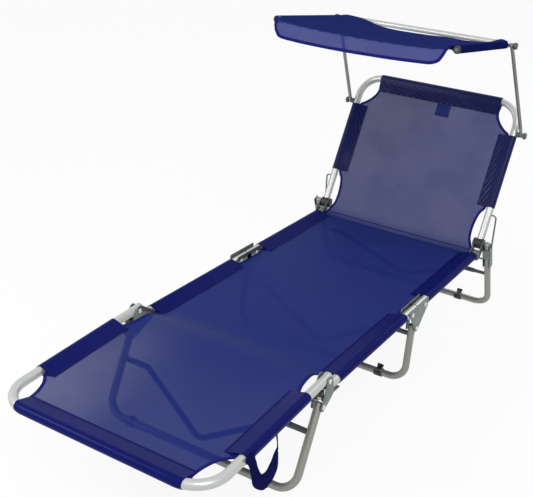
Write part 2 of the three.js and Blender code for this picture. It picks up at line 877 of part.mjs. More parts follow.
function canopyCloth() {
  const half = canopyOffset;
  const front = -canopyReach + capLength / 2;
  const back = canopyRear - canopyTubeRadius - touchGap * 2;
  const rows = [[back, canopyClothRise, half - canopyBendRadius, 0]];
  rows.push([-armEndRadius * 2, canopyClothRise, half - canopyBendRadius / 2, canopySag / 6]);
  rows.push([-armEndRadius * 3, canopyClothRise, half, canopySag / 5]);
  for (let k = 1; k <= canopySteps; k++) {
    const share = k / canopySteps;
    const y = -armEndRadius * 3 * (1 - share) + front * share;
    rows.push([y, canopyClothRise, half, canopySag * share * share]);
  }
  rows.push([front - valanceFlare / 2, canopyClothRise - valanceHeight / 2, half, canopySag]);
  const foot = canopyClothRise - valanceHeight + canopySag;
  rows.push([front - valanceFlare, foot, half - canopyBendRadius, canopySag]);
  const outer = canopyTubeRadius + sleeveGap + canopySleeveWall;
  const sleeves = sides.map(([, side]) =>
    alongY(
      ring(side * canopyOffset, 0, outer, canopyTubeRadius + sleeveGap),
      front,
      -armEndRadius * 2,
    ),
  );
  return cut(
    join(sheet(rows, canopyColumns, clothThickness), ...sleeves),
    ...sides.map(([, side]) =>
      alongY(disc(side * canopyOffset, 0, canopyTubeRadius + sleeveGap), front - overrun * 3, overrun),
    ),
  );
}

// Assembly
const footSection = groupAt(lounger, 0, footHingeY, hingeHeight, footDrop * degree);
addPiece(footSection, "foot_frame", footFrame(), silver);
addPiece(footSection, "foot_panel", footPanel(), meshCloth);
addPiece(footSection, "carry_strap", carryStrap(), navy);
addPiece(lounger, "middle_panel", middlePanel(), meshCloth);
addPiece(lounger, "rear_panel", rearPanel(), meshCloth);

const wideGap = plateOuter + touchGap;
const railPin = (side, y, z) => pin(side, y, z, railOffset - wideGap, railOffset + wideGap);
for (const [sideName, side] of sides) {
  const spread = foldPivotSpread / 2;
  addPiece(lounger, `middle_rail_${sideName}`, middleRail(side), silver);
  addPiece(lounger, `rear_rail_${sideName}`, rearRail(side), silver);
  addPiece(lounger, `foot_hinge_bracket_${sideName}`, footBracket(side), zinc);
  addPiece(lounger, `foot_stop_${sideName}`, stopBlock(side), black);
  addPiece(lounger, `centre_bracket_${sideName}`, centreBracket(side), zinc);
  addPiece(lounger, `rear_bracket_${sideName}`, rearBracket(side), zinc);
  addPiece(lounger, `foot_pin_${sideName}`, railPin(side, footHingeY, hingeHeight), bright);
  addPiece(lounger, `middle_fold_pin_${sideName}`, railPin(side, centreY - spread, deckHeight), bright);
  addPiece(lounger, `rear_fold_pin_${sideName}`, railPin(side, centreY + spread, deckHeight), bright);
  addPiece(lounger, `front_leg_pin_${sideName}`, railPin(side, ...frontLegPin), bright);
  addPiece(lounger, `middle_leg_pin_${sideName}`, railPin(side, ...middleLegPin), bright);
}

const legs = [
  ["front", ...frontLegPin, frontLegLean, railOffset],
  ["middle", ...middleLegPin, middleLegLean, railOffset],
  ["rear", backHingeY, hingeHeight, rearLegLean, rearLegOffset],
];
const legGroups = {};
for (const [name, y, z, leanDegrees, offset] of legs) {
  const lean = -leanDegrees * degree;
  const length = (z - footRadius) / Math.cos(lean);
  legGroups[name] = groupAt(lounger, 0, y, z, lean);
  addLeg(legGroups[name], name, offset, length, lean);
}

const lean = backrestLean * degree;
const backrest = groupAt(lounger, 0, backHingeY, hingeHeight, lean);
addPiece(backrest, "backrest_frame", backrestFrame(), silver);
addPiece(backrest, "backrest_panel", backrestPanel(), meshCloth);

const rearLean = -rearLegLean * degree;
const along = (distance, away) => [
  backHingeY + distance * Math.sin(rearLean) + away * Math.cos(rearLean),
  hingeHeight - distance * Math.cos(rearLean) + away * Math.sin(rearLean),
];
const upBackrest = (distance) => [
  backHingeY + distance * Math.cos(lean),
  hingeHeight + distance * Math.sin(lean),
];
const rest = wireSeat();
const seat = along(lastTooth - rest.up, channelDepth + rest.out);
const wire = wireSupport(upBackrest(wirePivotDistance), seat);
addPiece(lounger, "wire_support", wire, zinc);

const armRise = [-armLength * Math.cos(armAngle * degree), armLength * Math.sin(armAngle * degree)];
const armPivot = upBackrest(armPivotDistance);
const arms = groupAt(lounger, 0, ...armPivot);
const canopy = groupAt(arms, 0, ...armRise, canopySlope * degree);
for (const [sideName, side] of sides) {
  addPiece(legGroups.rear, `toothed_channel_${sideName}`, toothedChannel(side), zinc);
  const discFar = railOffset - plateOuter - touchGap;
  const hingeDisc = join(
    acrossX(disc(backHingeY, hingeHeight, hingeDiscRadius), side, discFar - hingeDiscThickness, discFar),
    acrossX(
      disc(backHingeY, hingeHeight, pinRadius),
      side,
      discFar - hingeDiscThickness / 2,
      rearLegOffset + legRadius + touchGap + channelThickness + touchGap,
    ),
    acrossX(
      disc(backHingeY, hingeHeight, pinHeadRadius),
      side,
      rearLegOffset + legRadius + channelThickness + touchGap * 2,
      rearLegOffset + legRadius + channelThickness + touchGap * 2 + pinHeadThickness,
    ),
  );
  addPiece(lounger, `backrest_pivot_${sideName}`, hingeDisc, black);
  addPiece(arms, `canopy_arm_${sideName}`, canopyArm(side, armRise), grey);
  const spacerNear = railOffset + tubeRadius + touchGap;
  const spacerShape = ring(0, 0, spacerRadius, screwRadius + turnGap);
  const spacer = acrossX(spacerShape, side, spacerNear, spacerNear + spacerLength);
  addPiece(arms, `arm_spacer_${sideName}`, spacer, darkGrey);
  const lowerSeat = armBase + armThickness + armSideGap;
  addPiece(arms, `lower_knob_${sideName}`, knob(side, 0, 0, lowerSeat, railOffset), darkGrey);
  const upperSeat = armTop + armThickness + armSideGap;
  addPiece(arms, `upper_knob_${sideName}`, knob(side, ...armRise, upperSeat, canopyOffset), darkGrey);
  const washerNear = canopyOffset + canopyTubeRadius + touchGap;
  const washerShape = ring(0, 0, washerRadius, screwRadius + turnGap);
  const washer = acrossX(washerShape, side, washerNear, armTop - touchGap);
  addPiece(canopy, `canopy_washer_${sideName}`, washer, black);
  addPiece(canopy, `canopy_end_cap_${sideName}`, endCap(side), black);
}
addPiece(canopy, "canopy_frame", canopyFrame(), silver);
addPiece(canopy, "canopy_cloth", canopyCloth(), navy);

// The origin lies on the floor, under the middle of the whole lounger
const bounds = new THREE.Box3().setFromObject(lounger, true);
lounger.position.y = -(bounds.min.y + bounds.max.y) / 2;

export default lounger;
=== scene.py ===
import json
import math

import bmesh
import bpy
from mathutils import Matrix, Vector, noise

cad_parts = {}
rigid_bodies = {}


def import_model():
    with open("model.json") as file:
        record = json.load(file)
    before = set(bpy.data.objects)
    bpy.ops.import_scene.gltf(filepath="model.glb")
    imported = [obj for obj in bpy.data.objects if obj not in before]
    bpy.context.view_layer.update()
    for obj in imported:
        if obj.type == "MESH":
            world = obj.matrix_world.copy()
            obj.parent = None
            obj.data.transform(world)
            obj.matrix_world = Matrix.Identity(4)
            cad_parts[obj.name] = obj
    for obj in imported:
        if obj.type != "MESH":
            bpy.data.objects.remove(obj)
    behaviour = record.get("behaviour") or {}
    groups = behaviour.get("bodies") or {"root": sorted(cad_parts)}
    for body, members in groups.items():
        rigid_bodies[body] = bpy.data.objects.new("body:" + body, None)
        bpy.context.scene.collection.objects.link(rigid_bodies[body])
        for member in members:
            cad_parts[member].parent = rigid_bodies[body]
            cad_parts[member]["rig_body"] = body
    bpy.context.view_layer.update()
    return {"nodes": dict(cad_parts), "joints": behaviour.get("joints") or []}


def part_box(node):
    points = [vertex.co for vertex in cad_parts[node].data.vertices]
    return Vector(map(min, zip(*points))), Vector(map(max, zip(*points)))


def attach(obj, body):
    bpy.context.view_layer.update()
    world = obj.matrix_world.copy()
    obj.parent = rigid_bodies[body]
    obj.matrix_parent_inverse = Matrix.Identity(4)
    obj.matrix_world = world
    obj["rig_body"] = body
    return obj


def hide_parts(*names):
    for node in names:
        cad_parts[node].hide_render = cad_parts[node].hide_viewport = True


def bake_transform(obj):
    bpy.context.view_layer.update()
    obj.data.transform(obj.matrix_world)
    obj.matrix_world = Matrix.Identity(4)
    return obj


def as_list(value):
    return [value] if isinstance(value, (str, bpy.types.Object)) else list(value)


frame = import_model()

bl_info = {
    "name": "Sun lounger with canopy",
    "version": (1, 0, 0),
    "blender": (4, 5, 0),
    "location": "View3D > Sidebar > Lounger",
    "description": "Dresses the packed frame of a folding sun lounger with tubes, cloth and fittings",
    "category": "Object",
}

MM = 0.001
PLACE = {j["name"]: Vector(j["pos_m"]) for j in frame["joints"]}
SIDES = (("right", 1), ("left", -1))


# Small helpers


def linear(hex_colour):
    """A linear RGB triple from an sRGB hex value."""
    parts = [int(hex_colour[i : i + 2], 16) / 255 for i in (1, 3, 5)]
    return tuple(c / 12.92 if c <= 0.04045 else ((c + 0.055) / 1.055) ** 2.4 for c in parts)


def length(name, text, value):
    """A length that the user can change."""
    make = bpy.props.FloatProperty
    return make(name=name, description=text, default=value, subtype="DISTANCE", unit="LENGTH")


def angle(name, text, degrees):
    """An angle that the user can change, given in degrees."""
    value = math.radians(degrees)
    make = bpy.props.FloatProperty
    return make(name=name, description=text, default=value, subtype="ANGLE", unit="ROTATION")


def colour(name, text, hex_colour):
    """A colour that the user can change, given as an sRGB hex value."""
    value = linear(hex_colour)
    make = bpy.props.FloatVectorProperty
    return make(name=name, description=text, default=value, subtype="COLOR", size=3)


class LOUNGER_PG_sizes(bpy.types.PropertyGroup):
    """Sizes of the pieces that are dressed over the frame"""

    foot_drop: angle("Foot drop", "Slope of the foot section down to its bar", 3.2)
    lean: angle("Backrest lean", "Backrest above flat", 62.2)
    canopy_slope: angle("Canopy slope", "Canopy frame, front end up", -6.1)
    tube: length("Frame tube", "Outer radius of the frame tube", 11 * MM)
    wall: length("Tube wall", "Wall of every tube", 1.2 * MM)
    leg_tube: length("Leg tube", "Outer radius of a leg tube", 9.5 * MM)
    brace: length("Brace", "Radius of the leg braces", 7 * MM)
    wire: length("Wire", "Radius of the wire support", 2.5 * MM)
    canopy_tube: length("Canopy tube", "Outer radius of the canopy tube", 8 * MM)
    rail: length("Rail offset", "Rail axis from the middle", 264 * MM)
    corner: length("Frame bend", "Bend radius of the foot and backrest frames", 70 * MM)
    leg_bend: length("Leg bend", "Bend radius of the legs", 45 * MM)
    brace_bend: length("Brace bend", "Bend radius of the braces", 30 * MM)
    canopy_bend: length("Canopy bend", "Bend radius of the canopy frame", 26 * MM)
    cloth: length("Cloth", "Thickness of the mesh cloth", 0.9 * MM)
    hem: length("Hem", "Stitch line from the tube axis", 38 * MM)
    sleeve: length("Sleeve", "Radius of the cloth round a frame tube", 12 * MM)
    sag: length("Sag", "Sag of the cloth between the rails", 7 * MM)
    weave: length("Weave pitch", "Thread spacing drawn in the mesh cloth", 2.4 * MM)
    thread: length("Thread", "Thickness of the sewing thread", 0.7 * MM)
    stitch: length("Stitch", "Length of one stitch", 3.2 * MM)
    stitch_gap: length("Stitch gap", "Space between two stitches", 1.6 * MM)
    binding: length("Binding", "Width of the edge binding", 8 * MM)
    valance: length("Valance", "Drop of the front valance", 39 * MM)


class LOUNGER_PG_colours(bpy.types.PropertyGroup):
    """Colours of the finishes"""

    silver: colour("Silver coat", "Frame tubes", "#BFC2BF")
    grey: colour("Grey coat", "Leg tubes and canopy arms", "#94968F")
    zinc: colour("Zinc plate", "Pressed brackets", "#737E79")
    bright: colour("Bright zinc", "Rivets and pins", "#D8DBD8")
    dark: colour("Dark coat", "Braces", "#4B4E50")
    black: colour("Black plastic", "Clips, caps and pivot discs", "#1E2022")
    knob: colour("Grey plastic", "Knobs and spacers", "#55595B")
    mesh: colour("Mesh cloth", "Threads of the seat cloth", "#172771")
    hem: colour("Hem cloth", "Sleeves and hems", "#0B135C")
    # Painted sheen: the backrest's hems are the same yarn as the others, coloured greyer for the sheen on
    # their creases
    creased: colour("Creased hem", "Sleeves of the backrest", "#10174C")
    binding: colour("Binding", "Edge binding", "#171C6A")
    canopy: colour("Canopy cloth", "Canopy top", "#262F6C")
    canopy_hem: colour("Canopy hem", "Sleeves at the sides of the canopy", "#121A55")
    valance_cloth: colour("Valance cloth", "Front valance of the canopy", "#2A3684")
    thread: colour("Thread", "Stitching", "#141A50")


class Plane:
    """A flat section of the lounger: x across, s along it and h above it, in the row frame."""

    def __init__(self, origin, slope):
        self.origin = Vector(origin)
        self.along = Vector((0, math.cos(slope), math.sin(slope)))
        self.up = Vector((0, -math.sin(slope), math.cos(slope)))

    def at(self, x, s, h=0.0):
        """The place in the row frame."""
        return Vector((x, 0, 0)) + self.origin + s * self.along + h * self.up


def planes(sizes):
    """The planes of the foot section, the seat, the backrest and the canopy."""
    middle = (PLACE["middle_fold"] + PLACE["rear_fold"]) / 2
    return {
        "foot": Plane(PLACE["foot_fold"], sizes.foot_drop),
        "seat": Plane(middle, 0.0),
        "back": Plane(PLACE["backrest_fold"], sizes.lean),
        "canopy": Plane(PLACE["canopy_tilt"], sizes.canopy_slope),
    }


def leg_plane(joint, lean_degrees):
    """A leg's plane: s runs down the leg from its pivot."""
    return Plane(PLACE[joint], math.radians(-90 - lean_degrees))


# Places along the object, measured from its hinges. Tables are in millimetres.

PLATE = 2 * MM  # thickness of the pressed brackets
PLATE_GAP = 0.4 * MM  # from the frame tube to the bracket's plates
FIT = 0.3 * MM  # between a leg tube and what wraps it
BAR_HEIGHT = 12.5 * MM  # axis of the foot bars above the floor
SECTION_LENGTH = {"foot": 445 * MM, "back": 435 * MM}  # from the hinge to the axis of the end bar
LEGS = {
    "front": ("front_leg_fold", 24.0, "front_leg_frame"),
    "middle": ("middle_leg_fold", 2.0, "middle_leg_frame"),
    "rear": ("rear_leg_fold", -24.9, "rear_leg_frame"),
}  # joint, lean in degrees and body of each leg
CREASE_BELOW = 29 * MM  # from the backrest's hinge down to the crease of the seat cloth
CLOTH_EDGE = {  # from a place along the seat cloth: distance, and how far its edge draws in there
    "foot bar": [(0, 37), (30, 36), (60, 32), (88, 22), (106, 9), (116, 0)],
    "foot hinge": [(-80, 0), (-66, 9), (-30, 17), (30, 17), (50, 9), (62, 0)],
    "middle": [(-68, 0), (-54, 3), (-30, 5), (30, 5), (54, 3), (68, 0)],
    "crease": [(-22, 0), (-4, -1)],
    "hip": [(-14, 7), (8, 17), (46, 19), (86, 12), (108, 0), (341, 0), (350, 14), (366, 32), (389, 46)],
    "top": [(0, 50)],
}
CANOPY_FRONT = -392 * MM  # front ends of the canopy's tubes from its pivot
CANOPY_CREASE = -400 * MM  # and the front crease of its cloth
CANOPY_HALF = 253 * MM  # half width of the canopy's cloth
VALANCE_WIDTH = 492 * MM
REAR_EDGE = [
    (-253, 9.4), (-235, 11), (-185, 7), (-135, -4), (-85, -9), (25, -8.5), (80, -6), (150, -6.5),
    (205, 0), (235, 12), (253, 9.4),
]  # height of the canopy's rear edge above its tubes, across
FRONT_EDGE = [
    (-253, 9.4), (-245, 5), (-235, -2.5), (-150, -9), (0, -11.5), (150, -9), (235, -2.5), (245, 5),
    (253, 9.4),
]  # and of its front crease
STRAP = [  # carry strap from its front end: both edges along, above and out from the foot plane
    (-333, 14, 0, -304, 14, 0), (-332, 2, 0, -303, -3, 0), (-324, -12, 1, -299, -16, 1),
    (-317, -40, 2, -294, -34, 2), (-310, -67, 2, -285, -52, 2), (-294, -88, 2, -279, -60, 2),
    (-271, -106, 2, -272, -64, 2), (-253, -107, 2, -264, -65, 2), (-236, -104, 2, -256, -63, 2),
    (-219, -92, 1, -248, -59, 1), (-215, -77, 1, -241, -54, 1), (-216, -54, 1, -230, -43, 0),
    (-217, -40, 1, -212, -37, -4), (-215, -26, -2, -199, -25, -12), (-213, -14, -6, -191, -14, -19),
]


def leg_length(name):
    """Distance down a leg from its pivot to the axis of its foot bar."""
    joint, lean, _ = LEGS[name]
    return (PLACE[joint].z - BAR_HEIGHT) / math.cos(math.radians(lean))


def half_width(node):
    """Distance of a node's outer face from the middle."""
    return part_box(node)[1].x


def reach_across(node):
    """Distances from the middle of a side node's inner and outer faces."""
    low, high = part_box(node)
    return sorted((abs(low.x), abs(high.x)))


def canopy_reach(s):
    """Distance of the canopy's side tubes from the middle."""
    return half_width("canopy_frame") - s.canopy_tube


def unevenness(a, b, size_a, size_b, seed):
    """Soft waves between -1 and 1, of a given size each way and the same on every run."""
    return noise.noise(Vector((a / size_a, b / size_b, seed)))


def body_of(node):
    """The body that carries a node."""
    return frame["nodes"][node]["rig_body"]


# Meshes


def new_object(name, verts, faces, uvs=None, smooth=40.0, edges=()):
    """A mesh object, smooth below the given angle."""
    mesh = bpy.data.meshes.new(name)
    mesh.from_pydata([tuple(v) for v in verts], edges, faces)
    if uvs is not None:
        layer = mesh.uv_layers.new(name="cloth")
        for loop in mesh.loops:
            layer.data[loop.index].uv = uvs[loop.vertex_index]
    obj = bpy.data.objects.new(name, mesh)
    bpy.context.scene.collection.objects.link(obj)
    shade(obj, smooth)
    return obj


def shade(obj, smooth):
    """Smooth shading, with edges sharper than an angle in degrees kept crisp."""
    obj.data.shade_smooth()
    obj.data.set_sharp_from_angle(angle=math.radians(smooth))


def face_out(obj):
    """Turns a closed mesh's faces outwards."""
    bm = bmesh.new()
    bm.from_mesh(obj.data)
    bmesh.ops.remove_doubles(bm, verts=bm.verts, dist=1e-6)
    bmesh.ops.recalc_face_normals(bm, faces=bm.faces)
    bm.to_mesh(obj.data)
    bm.free()


def apply_modifiers(obj):
    """Turns the evaluated object into a plain mesh with no modifiers."""
    graph = bpy.context.evaluated_depsgraph_get()
    mesh = bpy.data.meshes.new_from_object(obj.evaluated_get(graph))
    obj.modifiers.clear()
    obj.data = mesh
    return obj


def bevel(obj, width):
    """Eases the edges that turn by more than 50 degrees."""
    tool = obj.modifiers.new("Bevel", "BEVEL")
    tool.width = width
    tool.segments = 2
    tool.limit_method = "ANGLE"
    tool.angle_limit = math.radians(50)
    tool.harden_normals = False
    return apply_modifiers(obj)


def thicken(obj, thickness):
    """Gives a sheet its thickness, half to each side, with closed edges."""
    tool = obj.modifiers.new("Solidify", "SOLIDIFY")
    tool.thickness = thickness
    tool.offset = 0
    tool.use_rim = True
    return apply_modifiers(obj)


def join_objects(name, objects):
    """One object from several, with their materials kept."""
    bpy.ops.object.select_all(action="DESELECT")
    for obj in objects:
        obj.select_set(True)
    bpy.context.view_layer.objects.active = objects[0]
    bpy.ops.object.join()
    objects[0].name = name
    return objects[0]


def dress(obj, material, body=None, nodes=()):
    """Gives a finished piece its material and body, and hides the CAD nodes that it stands for."""
    if material is not None:
        obj.data.materials.clear()
        obj.data.materials.append(material)
    if body:
        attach(obj, body)
    if nodes:
        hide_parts(*nodes)


def bent_points(corners, radius, steps=14):
    """Corner points joined by straight stretches and round bends."""
    points = [Vector(corners[0])]
    for before, here, after in zip(corners, corners[1:], corners[2:]):
        before, here, after = Vector(before), Vector(here), Vector(after)
        into, out = (here - before).normalized(), (after - here).normalized()
        turn = into.angle(out)
        start = here - into * radius * math.tan(turn / 2)
        inward = (out - into * out.dot(into)).normalized()
        centre = start + inward * radius
        for k in range(steps + 1):
            a = turn * k / steps
            points.append(centre - inward * radius * math.cos(a) + into * radius * math.sin(a))
    points.append(Vector(corners[-1]))
    return points


def rings_along(points, profile):
    """Rings of a profile [(a, b)] carried along points without twist."""
    tangents = []
    for i in range(len(points)):
        before, after = points[max(i - 1, 0)], points[min(i + 1, len(points) - 1)]
        into = (points[i] - before).normalized() if i else (after - points[i]).normalized()
        out = (after - points[i]).normalized() if i < len(points) - 1 else into
        tangents.append((into + out).normalized())
    side = tangents[0].cross(Vector((1, 0, 0)))
    if side.length < 0.2:
        side = tangents[0].cross(Vector((0, 0, 1)))
    side.normalize()
    rings = []
    for i, (point, tangent) in enumerate(zip(points, tangents)):
        if i:
            side = tangents[i - 1].rotation_difference(tangent) @ side
        up = tangent.cross(side).normalized()
        stretch = 1.0
        if 0 < i < len(points) - 1:
            stretch = 1 / max(0.5, math.cos((points[i + 1] - point).angle(point - points[i - 1]) / 2))
        rings.append([point + side * a * stretch + up * b for a, b in profile])
    return rings


def circle(radius, sides):
    """Points of a circle round the origin."""
    turns = [2 * math.pi * k / sides for k in range(sides)]
    return [(radius * math.cos(a), radius * math.sin(a)) for a in turns]


def loft(name, rings, smooth=40.0):
    """A closed skin through rings that all have the same count of points."""
    count = len(rings[0])
    verts = [p for ring in rings for p in ring]
    faces = []
    for i in range(len(rings) - 1):
        for k in range(count):
            a, b = i * count + k, i * count + (k + 1) % count
            faces.append((a, b, b + count, a + count))
    faces.append(tuple(reversed(range(count))))
    faces.append(tuple(range(len(verts) - count, len(verts))))
    obj = new_object(name, verts, faces, smooth=smooth)
    face_out(obj)
    shade(obj, smooth)
    return obj


def dome_rings(ring, centre, out, height):
    """Rings that close the end of a tube in a low dome."""
    rings = []
    for k in range(1, 6):
        a = 0.48 * math.pi * k / 5
        rings.append([centre + (q - centre) * math.cos(a) + out * height * math.sin(a) for q in ring])
    return rings


def turned(name, centre, axis, profile, sides=28):
    """A turned piece: a profile [(distance along the axis, radius)] round a centre."""
    axis = Vector(axis).normalized()
    across = axis.orthogonal().normalized()
    up = axis.cross(across)
    rings = []
    for reach, radius in profile:
        middle = Vector(centre) + axis * reach
        rings.append([middle + across * a + up * b for a, b in circle(max(radius, 0.05 * MM), sides)])
    return loft(name, rings, smooth=35.0)


def tube(name, points, radius, wall=0.0, sides=32, dome=0.0):
    """A round tube along points; its ends are domed, or with a wall show a short open bore."""
    rings = rings_along(points, circle(radius, sides))
    first, last = (points[1] - points[0]).normalized(), (points[-2] - points[-1]).normalized()
    if dome:
        head = list(reversed(dome_rings(rings[0], points[0], -first, dome)))
        rings = head + rings + dome_rings(rings[-1], points[-1], -last, dome)
    elif wall:
        bore = 14 * MM
        inner = rings_along(points, circle(radius - wall, sides))
        head = [[p + first * bore for p in inner[0]], inner[0]]
        tail = [inner[-1], [p + last * bore for p in inner[-1]]]
        rings = head + rings + tail
    return loft(name, rings)


def belt(circles):
    """Points of an outline that runs round circles [u, v, radius] like a belt, counter-clockwise, with
    14 steps to a half turn."""
    count = len(circles)
    leaving = []
    for i, (u, v, r) in enumerate(circles):
        nu, nv, nr = circles[(i + 1) % count]
        du, dv = nu - u, nv - v
        leaving.append(math.atan2(dv, du) - math.acos((r - nr) / math.hypot(du, dv)))
    outline = []
    for i, (u, v, r) in enumerate(circles):
        start, end = leaving[i - 1], leaving[i]
        while end < start:
            end += 2 * math.pi
        pieces = max(2, round(14 * (end - start) / math.pi))
        for k in range(pieces + 1):
            a = start + (end - start) * k / pieces
            outline.append((u + r * math.cos(a), v + r * math.sin(a)))
    return outline


def plate(name, outline, side, near, far, edge, shear=None):
    """A flat plate: an outline in (Y, Z) pushed along X on one side, with eased edges."""
    low, high = sorted((side * near, side * far))
    lean = shear or (lambda y, z: 0.0)
    verts = [(x + lean(y, z), y, z) for x in (low, high) for y, z in outline]
    count = len(outline)
    faces = [tuple(range(count)), tuple(range(count, 2 * count))]
    faces += [(k, (k + 1) % count, (k + 1) % count + count, k + count) for k in range(count)]
    obj = new_object(name, verts, faces)
    face_out(obj)
    bevel(obj, edge)
    shade(obj, 40)
    return obj


def sheet_grid(name, rows, uv_rows, thickness):
    """A sheet from rows of points, thickened and closed."""
    wide = len(rows[0])
    verts = [p for row in rows for p in row]
    uvs = [uv for row in uv_rows for uv in row]
    faces = [
        (i * wide + k, i * wide + k + 1, (i + 1) * wide + k + 1, (i + 1) * wide + k)
        for i in range(len(rows) - 1)
        for k in range(wide - 1)
    ]
    obj = new_object(name, verts, faces, uvs, smooth=60)
    thicken(obj, thickness)
    shade(obj, 60)
    return obj


def spread(start, end, step):
    """Evenly spaced numbers from start to end, about a step apart."""
    count = max(2, math.ceil(abs(end - start) / step))
    return [start + (end - start) * k / count for k in range(count + 1)]


def between(points, step):
    """Points with more of them set along every stretch that is longer than a step."""
    dense = [points[0]]
    for a, b in zip(points, points[1:]):
        count = max(1, math.ceil((b - a).length / step))
        dense += [a.lerp(b, k / count) for k in range(1, count + 1)]
    return dense


def through(points, value):
    """A smooth curve through points [(place, value)], read at a place."""
    if value <= points[0][0]:
        return points[0][1]
    for i in range(len(points) - 1):
        (x0, y0), (x1, y1) = points[i], points[i + 1]
        if value <= x1:
            t = (value - x0) / (x1 - x0)
            before = points[max(i - 1, 0)]
            after = points[min(i + 2, len(points) - 1)]
            m0 = (y1 - before[1]) / max(x1 - before[0], 1e-9) * (x1 - x0)
            m1 = (after[1] - y0) / max(after[0] - x0, 1e-9) * (x1 - x0)
            cube, square = t * t * t, t * t
            ends = (2 * cube - 3 * square + 1) * y0 + (3 * square - 2 * cube) * y1
            return ends + (cube - 2 * square + t) * m0 + (cube - square) * m1
    return points[-1][1]


def modifier_tree(name, inputs):
    """An empty Geometry Nodes tree with named number inputs."""
    tree = bpy.data.node_groups.new(name, "GeometryNodeTree")
    tree.interface.new_socket("Geometry", in_out="INPUT", socket_type="NodeSocketGeometry")
    for key in inputs:
        tree.interface.new_socket(key, in_out="INPUT", socket_type="NodeSocketFloat")
    tree.interface.new_socket("Geometry", in_out="OUTPUT", socket_type="NodeSocketGeometry")
    return tree, add(tree, "NodeGroupInput").outputs


def set_on_points(tree, material, points, shape, turn, size):
    """Ends a tree with a turned and sized shape on every point, as real geometry with its material."""
    links = {"Points": points, "Instance": shape.outputs[0]}
    links.update({"Rotation": turn.outputs[0], "Scale": size.outputs[0]})
    laid = add(tree, "GeometryNodeInstanceOnPoints", None, links)
    real = add(tree, "GeometryNodeRealizeInstances", None, {"Geometry": laid.outputs[0]})
    painted = add(tree, "GeometryNodeSetMaterial", None, {"Geometry": real.outputs[0], "Material": material})
    add(tree, "NodeGroupOutput", None, {0: painted.outputs[0]})


def grow(obj, tree, values):
    """Runs a Geometry Nodes tree on an object and leaves a plain mesh."""
    tool = obj.modifiers.new("Grow", "NODES")
    tool.node_group = tree
    for item in tree.interface.items_tree:
        if item.name in values:
            tool[item.identifier] = values[item.name]
    apply_modifiers(obj)
    shade(obj, 50)
    return obj


def stitch_tree(material):
    """Stitches laid end to end along lines, each a short rounded thread."""
    tree, given = modifier_tree("Stitches", ("Stitch", "Gap", "Thread"))
    line = add(tree, "GeometryNodeMeshToCurve", None, {"Mesh": given["Geometry"]})
    pitch = add(tree, "ShaderNodeMath", {"operation": "ADD"}, {0: given["Stitch"], 1: given["Gap"]})
    spacing = {"Curve": line.outputs[0], "Length": pitch.outputs[0]}
    even = add(tree, "GeometryNodeResampleCurve", {"mode": "LENGTH"}, spacing)
    bead = add(tree, "GeometryNodeMeshUVSphere", None, {"Segments": 8, "Rings": 5, "Radius": 0.5})
    scales = {"X": given["Stitch"], "Y": given["Thread"], "Z": given["Thread"]}
    size = add(tree, "ShaderNodeCombineXYZ", None, scales)
    tangent = add(tree, "GeometryNodeInputTangent").outputs[0]
    turn = add(tree, "FunctionNodeAlignRotationToVector", {"axis": "X"}, {"Vector": tangent})
    set_on_points(tree, material, even.outputs[0], bead, turn, size)
    return tree


def head_tree(material):
    """A domed head on every point, turned to the direction that the point carries."""
    tree, given = modifier_tree("Rivet heads", ("Radius", "Height"))
    dome = add(tree, "GeometryNodeMeshUVSphere", None, {"Segments": 24, "Rings": 12, "Radius": 1.0})
    scales = {"X": given["Radius"], "Y": given["Radius"], "Z": given["Height"]}
    size = add(tree, "ShaderNodeCombineXYZ", None, scales)
    facing = add(tree, "GeometryNodeInputNamedAttribute", {"data_type": "FLOAT_VECTOR"}, {"Name": "facing"})
    turn = add(tree, "FunctionNodeAlignRotationToVector", {"axis": "Z"}, {"Vector": facing.outputs[0]})
    set_on_points(tree, material, given["Geometry"], dome, turn, size)
    return tree


def stitches(name, s, m, body, lines):
    """Rows of stitches along lines of points, as one piece of a body."""
    verts, edges = [], []
    for line in lines:
        start = len(verts)
        verts += line
        edges += [(start + k, start + k + 1) for k in range(len(line) - 1)]
    obj = new_object(name, verts, [], edges=edges)
    grow(obj, m["stitch_tree"], {"Stitch": s.stitch, "Gap": s.stitch_gap, "Thread": s.thread})
    add_map(obj)
    dress(obj, None, body, ())


def heads(name, m, places, radius, height):
    """Domed rivet heads at places [(point, direction)]."""
    obj = new_object(name, [point for point, _ in places], [])
    facing = obj.data.attributes.new("facing", "FLOAT_VECTOR", "POINT")
    for value, (_, direction) in zip(facing.data, places):
        value.vector = direction
    return grow(obj, m["head_tree"], {"Radius": radius, "Height": height})


# Materials


def add(tree, kind, settings=None, links=None, into=None):
    """Adds a node with its settings and its inputs, from other nodes' sockets or plain values, and leads
    its first output into a socket."""
    node = tree.nodes.new(kind)
    for key, value in (settings or {}).items():
        setattr(node, key, value)
    for key, value in (links or {}).items():
        socket = node.inputs[key]
        if isinstance(value, bpy.types.NodeSocket):
            tree.links.new(value, socket)
        else:
            socket.default_value = value
    if into:
        tree.links.new(node.outputs[0], into)
    return node


def blank_material(name, base, roughness, metallic=0.0, specular=0.5):
    """A Principled material whose plain values stand on the shader's own sockets."""
    material = bpy.data.materials.new(name)
    material.use_nodes = True
    tree = material.node_tree
    shader = tree.nodes["Principled BSDF"]
    shader.inputs["Base Color"].default_value = (*base, 1)
    shader.inputs["Roughness"].default_value = roughness
    shader.inputs["Metallic"].default_value = metallic
    shader.inputs["Specular IOR Level"].default_value = specular
    return material, tree, shader


def two_tones(tree, shader, pattern, base, deep, light):
    """Lets a pattern choose between a deeper and a lighter share of the base colour. The mix node's
    colour sockets share their names with its other sockets, so they go by number."""
    dark, pale = [(*(min(1, c * share) for c in base), 1) for share in (deep, light)]
    mix = add(tree, "ShaderNodeMix", {"data_type": "RGBA"}, {"Factor": pattern, 6: dark, 7: pale})
    tree.links.new(mix.outputs[2], shader.inputs["Base Color"])


